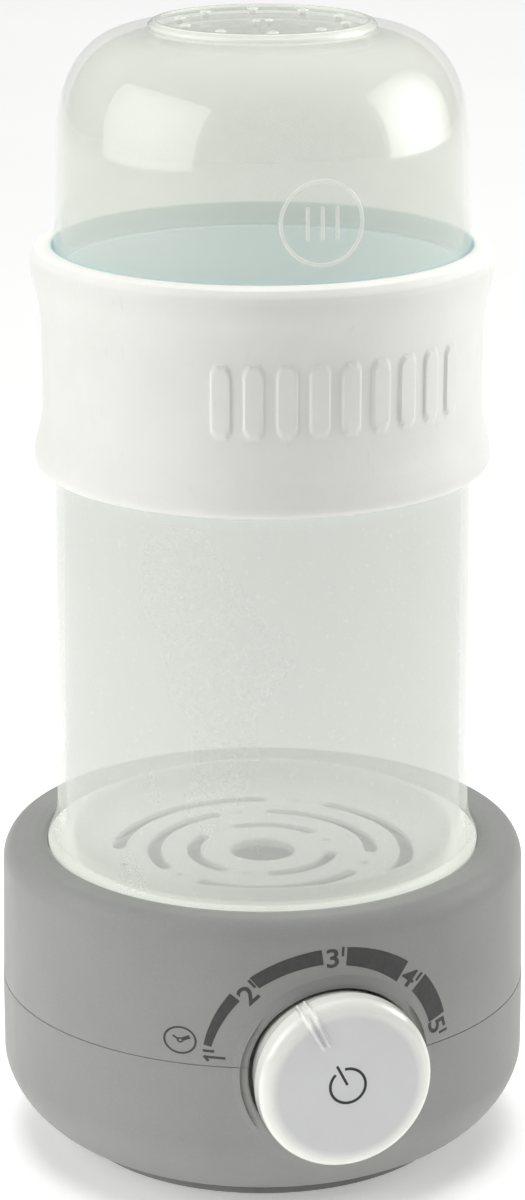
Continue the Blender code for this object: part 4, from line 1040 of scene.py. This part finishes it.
def emblem(look):
    """Raised line drawing on the front of the lid: a circle around three upright bars."""
    lines = [[polar(EMBLEM_R, turn) for turn in range(0, 360, 5)]]
    lines += [[(across, -3.8 + 7.6 * step / 10) for step in range(11)] for across in (-3.4, 0, 3.4)]
    parts = []
    for count, line in enumerate(lines):
        closed = count == 0
        bm = bmesh.new()
        rings = []
        for (x0, z0), (x1, z1) in stroke_rows(line, 1.0, closed):
            ring = []
            for part, proud in ((0, -0.1), (0.12, 0.24), (0.35, 0.34), (0.65, 0.34), (0.88, 0.24), (1, -0.1)):
                across, along = x0 + (x1 - x0) * part, EMBLEM_Z + z0 + (z1 - z0) * part
                radius = dome_radius(along) + proud
                turn = math.radians(FRONT) + across / DOME_WALL_R
                ring.append(bm.verts.new((radius * math.cos(turn), radius * math.sin(turn), along)))
            rings.append(ring)
        for near, far in zip(rings, rings[1:] + (rings[:1] if closed else [])):
            bridge(bm, near, far)
        if not closed:
            bm.faces.new(rings[0])
            bm.faces.new(rings[-1])
        parts.append(bm)
    belongs(mesh_object("dome_emblem", joined(parts), look, 30), "lid", "frosted_plastic")


def dome(look, relief_look):
    """The lid: a superellipse dome with a stepped plateau, small steam vents and beads round them and it."""
    thick, top = 1.6, LID_TOP_Z
    inner_top = top - 0.35 - thick
    inner = [(0, inner_top), (23.6, inner_top, 0.6), (24.2, inner_top - 1.0, 0.6)]
    inner += corner((DOME_WALL_R - thick, DOME_WALL_Z - 1), (25.4, 271.0), DOME_POWER, 24)[::-1]
    rim = [(LID_LOW_R - thick, LID_LOW_Z, 0.5), (LID_LOW_R, LID_LOW_Z, 0.6)]
    outline = dense(rounded(inner + rim + dome_outline()), 2.2, False)
    lid = mesh_object("dome", turned_bmesh(outline, even_angles(200), closed=False), look)
    holes, beads = [], []
    places = [(VENT_CIRCLE_R, count + 0.25, VENT_R) for count in range(VENT_COUNT)]
    places += [(1.6, 0, VENT_R / 2), (1.6, VENT_COUNT / 2, VENT_R / 2)]
    for circle_r, count, radius in places:
        turn = 2 * math.pi * count / VENT_COUNT
        centre = (circle_r * math.cos(turn), circle_r * math.sin(turn))
        holes.append(rod_bmesh(radius, inner_top - 2, top + 2, 20, centre))
        bead = turned_bmesh(rounded([(radius, top - 0.45), (radius, top - 0.05, 0.1),
                                     (radius + 0.5, top - 0.05, 0.2), (radius + 0.7, top - 0.45)]),
                            even_angles(20))
        bmesh.ops.translate(bead, vec=(*centre, 0), verts=bead.verts)
        beads.append(bead)
    beads.append(turned_bmesh(rounded([(24.2, top - 0.5), (24.2, top - 0.02, 0.2), (25.2, top - 0.02, 0.5),
                                       (26.5, top - 1.0, 0.4), (26.7, top - 1.6), (25.6, top - 1.6)]),
                              even_angles(160)))
    carve(lid, ("DIFFERENCE", joined(holes)))
    belongs(lid, "lid", "frosted_plastic", "dome_lid")
    belongs(mesh_object("dome_vent_rims", joined(beads), relief_look), "lid", "frosted_plastic")
    emblem(relief_look)


# CAD nodes that keep their shape


def dress(look, *starts):
    """Gives one look to the CAD nodes whose names begin with any of these words."""
    for name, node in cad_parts.items():
        if name.startswith(starts):
            node.data.materials.clear()
            node.data.materials.append(look)


SPECKLED_NODES = (  # look, both tints, roughness, grain, metal, and how its nodes' names begin
    ("zinc_screw", (0.50, 0.51, 0.53), (0.66, 0.66, 0.66), 0.28, 700, 1.0,
     ("cover_screw", "heater_screw", "board_screw", "encoder_nut")),
    ("nickel_plate", (0.55, 0.54, 0.50), (0.70, 0.68, 0.64), 0.25, 500, 1.0,
     ("heater_bracket", "encoder_body", "knob_spring")),
    ("machined_brass", (0.62, 0.44, 0.19), (0.78, 0.60, 0.30), 0.28, 600, 1.0,
     ("encoder_rotor", "thermostat")),
    ("black_rubber", (0.030, 0.030, 0.030), (0.055, 0.055, 0.055), 0.70, 500, 0.0, ("rubber_foot",)),
    ("black_case", (0.025, 0.025, 0.028), (0.045, 0.045, 0.050), 0.40, 400, 0.0,
     ("power_relay", "switch_body", "buzzer", "filter_capacitor")),
    ("terminal_green", (0.03, 0.16, 0.10), (0.05, 0.22, 0.14), 0.42, 400, 0.0, ("terminal_block",)),
    ("fuse_body", (0.70, 0.69, 0.64), (0.82, 0.81, 0.77), 0.35, 500, 0.0, ("thermal_fuse", "switch_plunger")),
    ("red_lead", (0.40, 0.03, 0.025), (0.52, 0.05, 0.04), 0.42, 600, 0.0, ("live_lead", "neutral_lead")),
    ("grey_lead", (0.20, 0.20, 0.21), (0.28, 0.28, 0.29), 0.42, 600, 0.0, ("dial_lead",)))


def dress_cad_nodes():
    for name, dark, pale, rough, grain, metal, starts in SPECKLED_NODES:
        dress(speckled(name, dark, pale, rough, grain, metal), *starts)
    dress(brushed_steel("turned_steel", (0.70, 0.70, 0.69), 0.26), "control_shaft", "heating_element")
    dress(circuit_board(), "control_board", "dial_board")


# Stage, light and camera


FLOOR_NEAR_GLOW, FLOOR_FAR_GLOW = 0.30, 0.06  # painted glow of the floor paper, beside the object and far from it


def floor():
    """White paper with a painted glow, brightest under the object."""
    bm = bmesh.new()
    bmesh.ops.create_circle(bm, cap_ends=True, segments=96, radius=6000)
    look = Look("floor_paper", roughness=0.9, specular_ior_level=0.1, emission_color=rgb(1, 1, 1))
    tone = look.remap(look.noise(3, 2), 0, 1)
    look.drive("Base Color", look.blend(tone, rgb(0.91, 0.91, 0.905), rgb(0.93, 0.93, 0.925)))
    # Painted glow: emission that stands in for light on the paper, strongest near the object.
    glow = look.remap(look.axis_distance(), FLOOR_NEAR_GLOW, FLOOR_FAR_GLOW, 0.12, 0.45)
    look.drive("Emission Strength", glow)
    obj = mesh_object("floor", bm, look.material)


def area_light(name, azimuth, distance, height, size, power, aim, spread=180, glints=True):
    """Soft box at an azimuth counted from the camera's side, aimed at a (distance, height) on its own side.
    Without glints it isn't mirrored in glossy pieces."""
    data = bpy.data.lights.new(name, "AREA")
    data.shape = "RECTANGLE"
    data.size, data.size_y = size
    data.energy = power
    data.spread = math.radians(spread)
    obj = bpy.data.objects.new(name, data)
    turn = math.radians(CAMERA_AZIMUTH + azimuth)
    away = Vector((math.sin(turn), -math.cos(turn), 0))
    obj.location = away * distance + Vector((0, 0, height))
    obj.visible_glossy = glints
    direction = away * aim[0] + Vector((0, 0, aim[1])) - obj.location
    obj.rotation_euler = direction.to_track_quat("-Z", "Y").to_euler()
    bpy.context.scene.collection.objects.link(obj)


CAMERA_AZIMUTH = -16.0
CAMERA_DISTANCE, CAMERA_HEIGHT, CAMERA_PITCH, CAMERA_LENS = 0.8595, 0.3966, 16.94, 111.96


def stage_and_light():
    """Paper floor, faint studio light from all round, four soft boxes and the camera."""
    floor()
    world = bpy.data.worlds.new("studio")
    bpy.context.scene.world = world
    world.use_nodes = True
    background = world.node_tree.nodes["Background"]
    background.inputs["Color"].default_value = rgb(0.98, 0.99, 1.0)
    background.inputs["Strength"].default_value = 0.05
    area_light("left_box", azimuth=-66, distance=0.65, height=0.44, size=(0.80, 0.60), power=1.6,
               aim=(0, 0.24), spread=120)
    area_light("right_box", azimuth=97, distance=0.50, height=0.43, size=(0.52, 0.46), power=0.72,
               aim=(0, 0.34), spread=75)
    area_light("top_box", azimuth=0, distance=0.1, height=1.6, size=(1.0, 1.0), power=15.0,
               aim=(0.1, 0), glints=False)
    area_light("back_box", azimuth=180, distance=2.1, height=1.8, size=(2.2, 3.4), power=48,
               aim=(2.1, 0), glints=False)
    data = bpy.data.cameras.new("camera")
    data.lens, data.sensor_width = CAMERA_LENS, 36.0
    data.clip_start, data.clip_end = 0.05, 30
    camera = bpy.data.objects.new("camera", data)
    turn = math.radians(CAMERA_AZIMUTH)
    camera.location = (CAMERA_DISTANCE * math.sin(turn), -CAMERA_DISTANCE * math.cos(turn), CAMERA_HEIGHT)
    camera.rotation_euler = (math.radians(90 - CAMERA_PITCH), 0, turn)
    bpy.context.scene.collection.objects.link(camera)
    bpy.context.scene.camera = camera
    bpy.context.scene.view_settings.view_transform = "Standard"


def build():
    grey = soft_grey()
    silicone = white_silicone()
    top_shell(grey)
    bottom_shell(grey)
    plinth(plinth_plastic())
    gland(speckled("gland_rubber", (0.030, 0.030, 0.030), (0.055, 0.055, 0.055), 0.65, 500))
    water_dish(brushed_steel("dish_steel", (0.62, 0.68, 0.70), 0.24))
    dish_seal(silicone)
    dial_print(print_ink("dial_ink", (0.062, 0.062, 0.062)))
    knob(knob_plastic())
    power_icon(print_ink("icon_ink", (0.030, 0.030, 0.034)))
    # Each frosted look's emission is a painted glow that stands in for light scattered through the plastic.
    tube = frosted("frosted_tube", alpha=0.42, tint=(0.44, 0.45, 0.40), rough=0.40, painted_glow=0.29, gloss=1.1)
    foot = frosted("frosted_foot", alpha=0.88, tint=(0.88, 0.89, 0.85), rough=0.25, painted_glow=0.33, gloss=1.5)
    steam_chamber(tube, foot)
    grip_sleeve(silicone)
    steam_tray(gloss_white("tray_white", (0.90, 0.91, 0.885), 0.24))
    # The relief look is a whiter, more opaque copy of the dome plastic. It is partly the thicker plastic of
    # beads and emblem, and partly painted highlight.
    dome(frosted("frosted_dome", alpha=0.32, tint=(0.62, 0.63, 0.54), rough=0.12, painted_glow=0.17, gloss=1.9),
         frosted("frosted_relief", alpha=0.5, tint=(0.88, 0.90, 0.86), rough=0.20, painted_glow=0.1, gloss=1.5))
    dress_cad_nodes()


build()
stage_and_light()
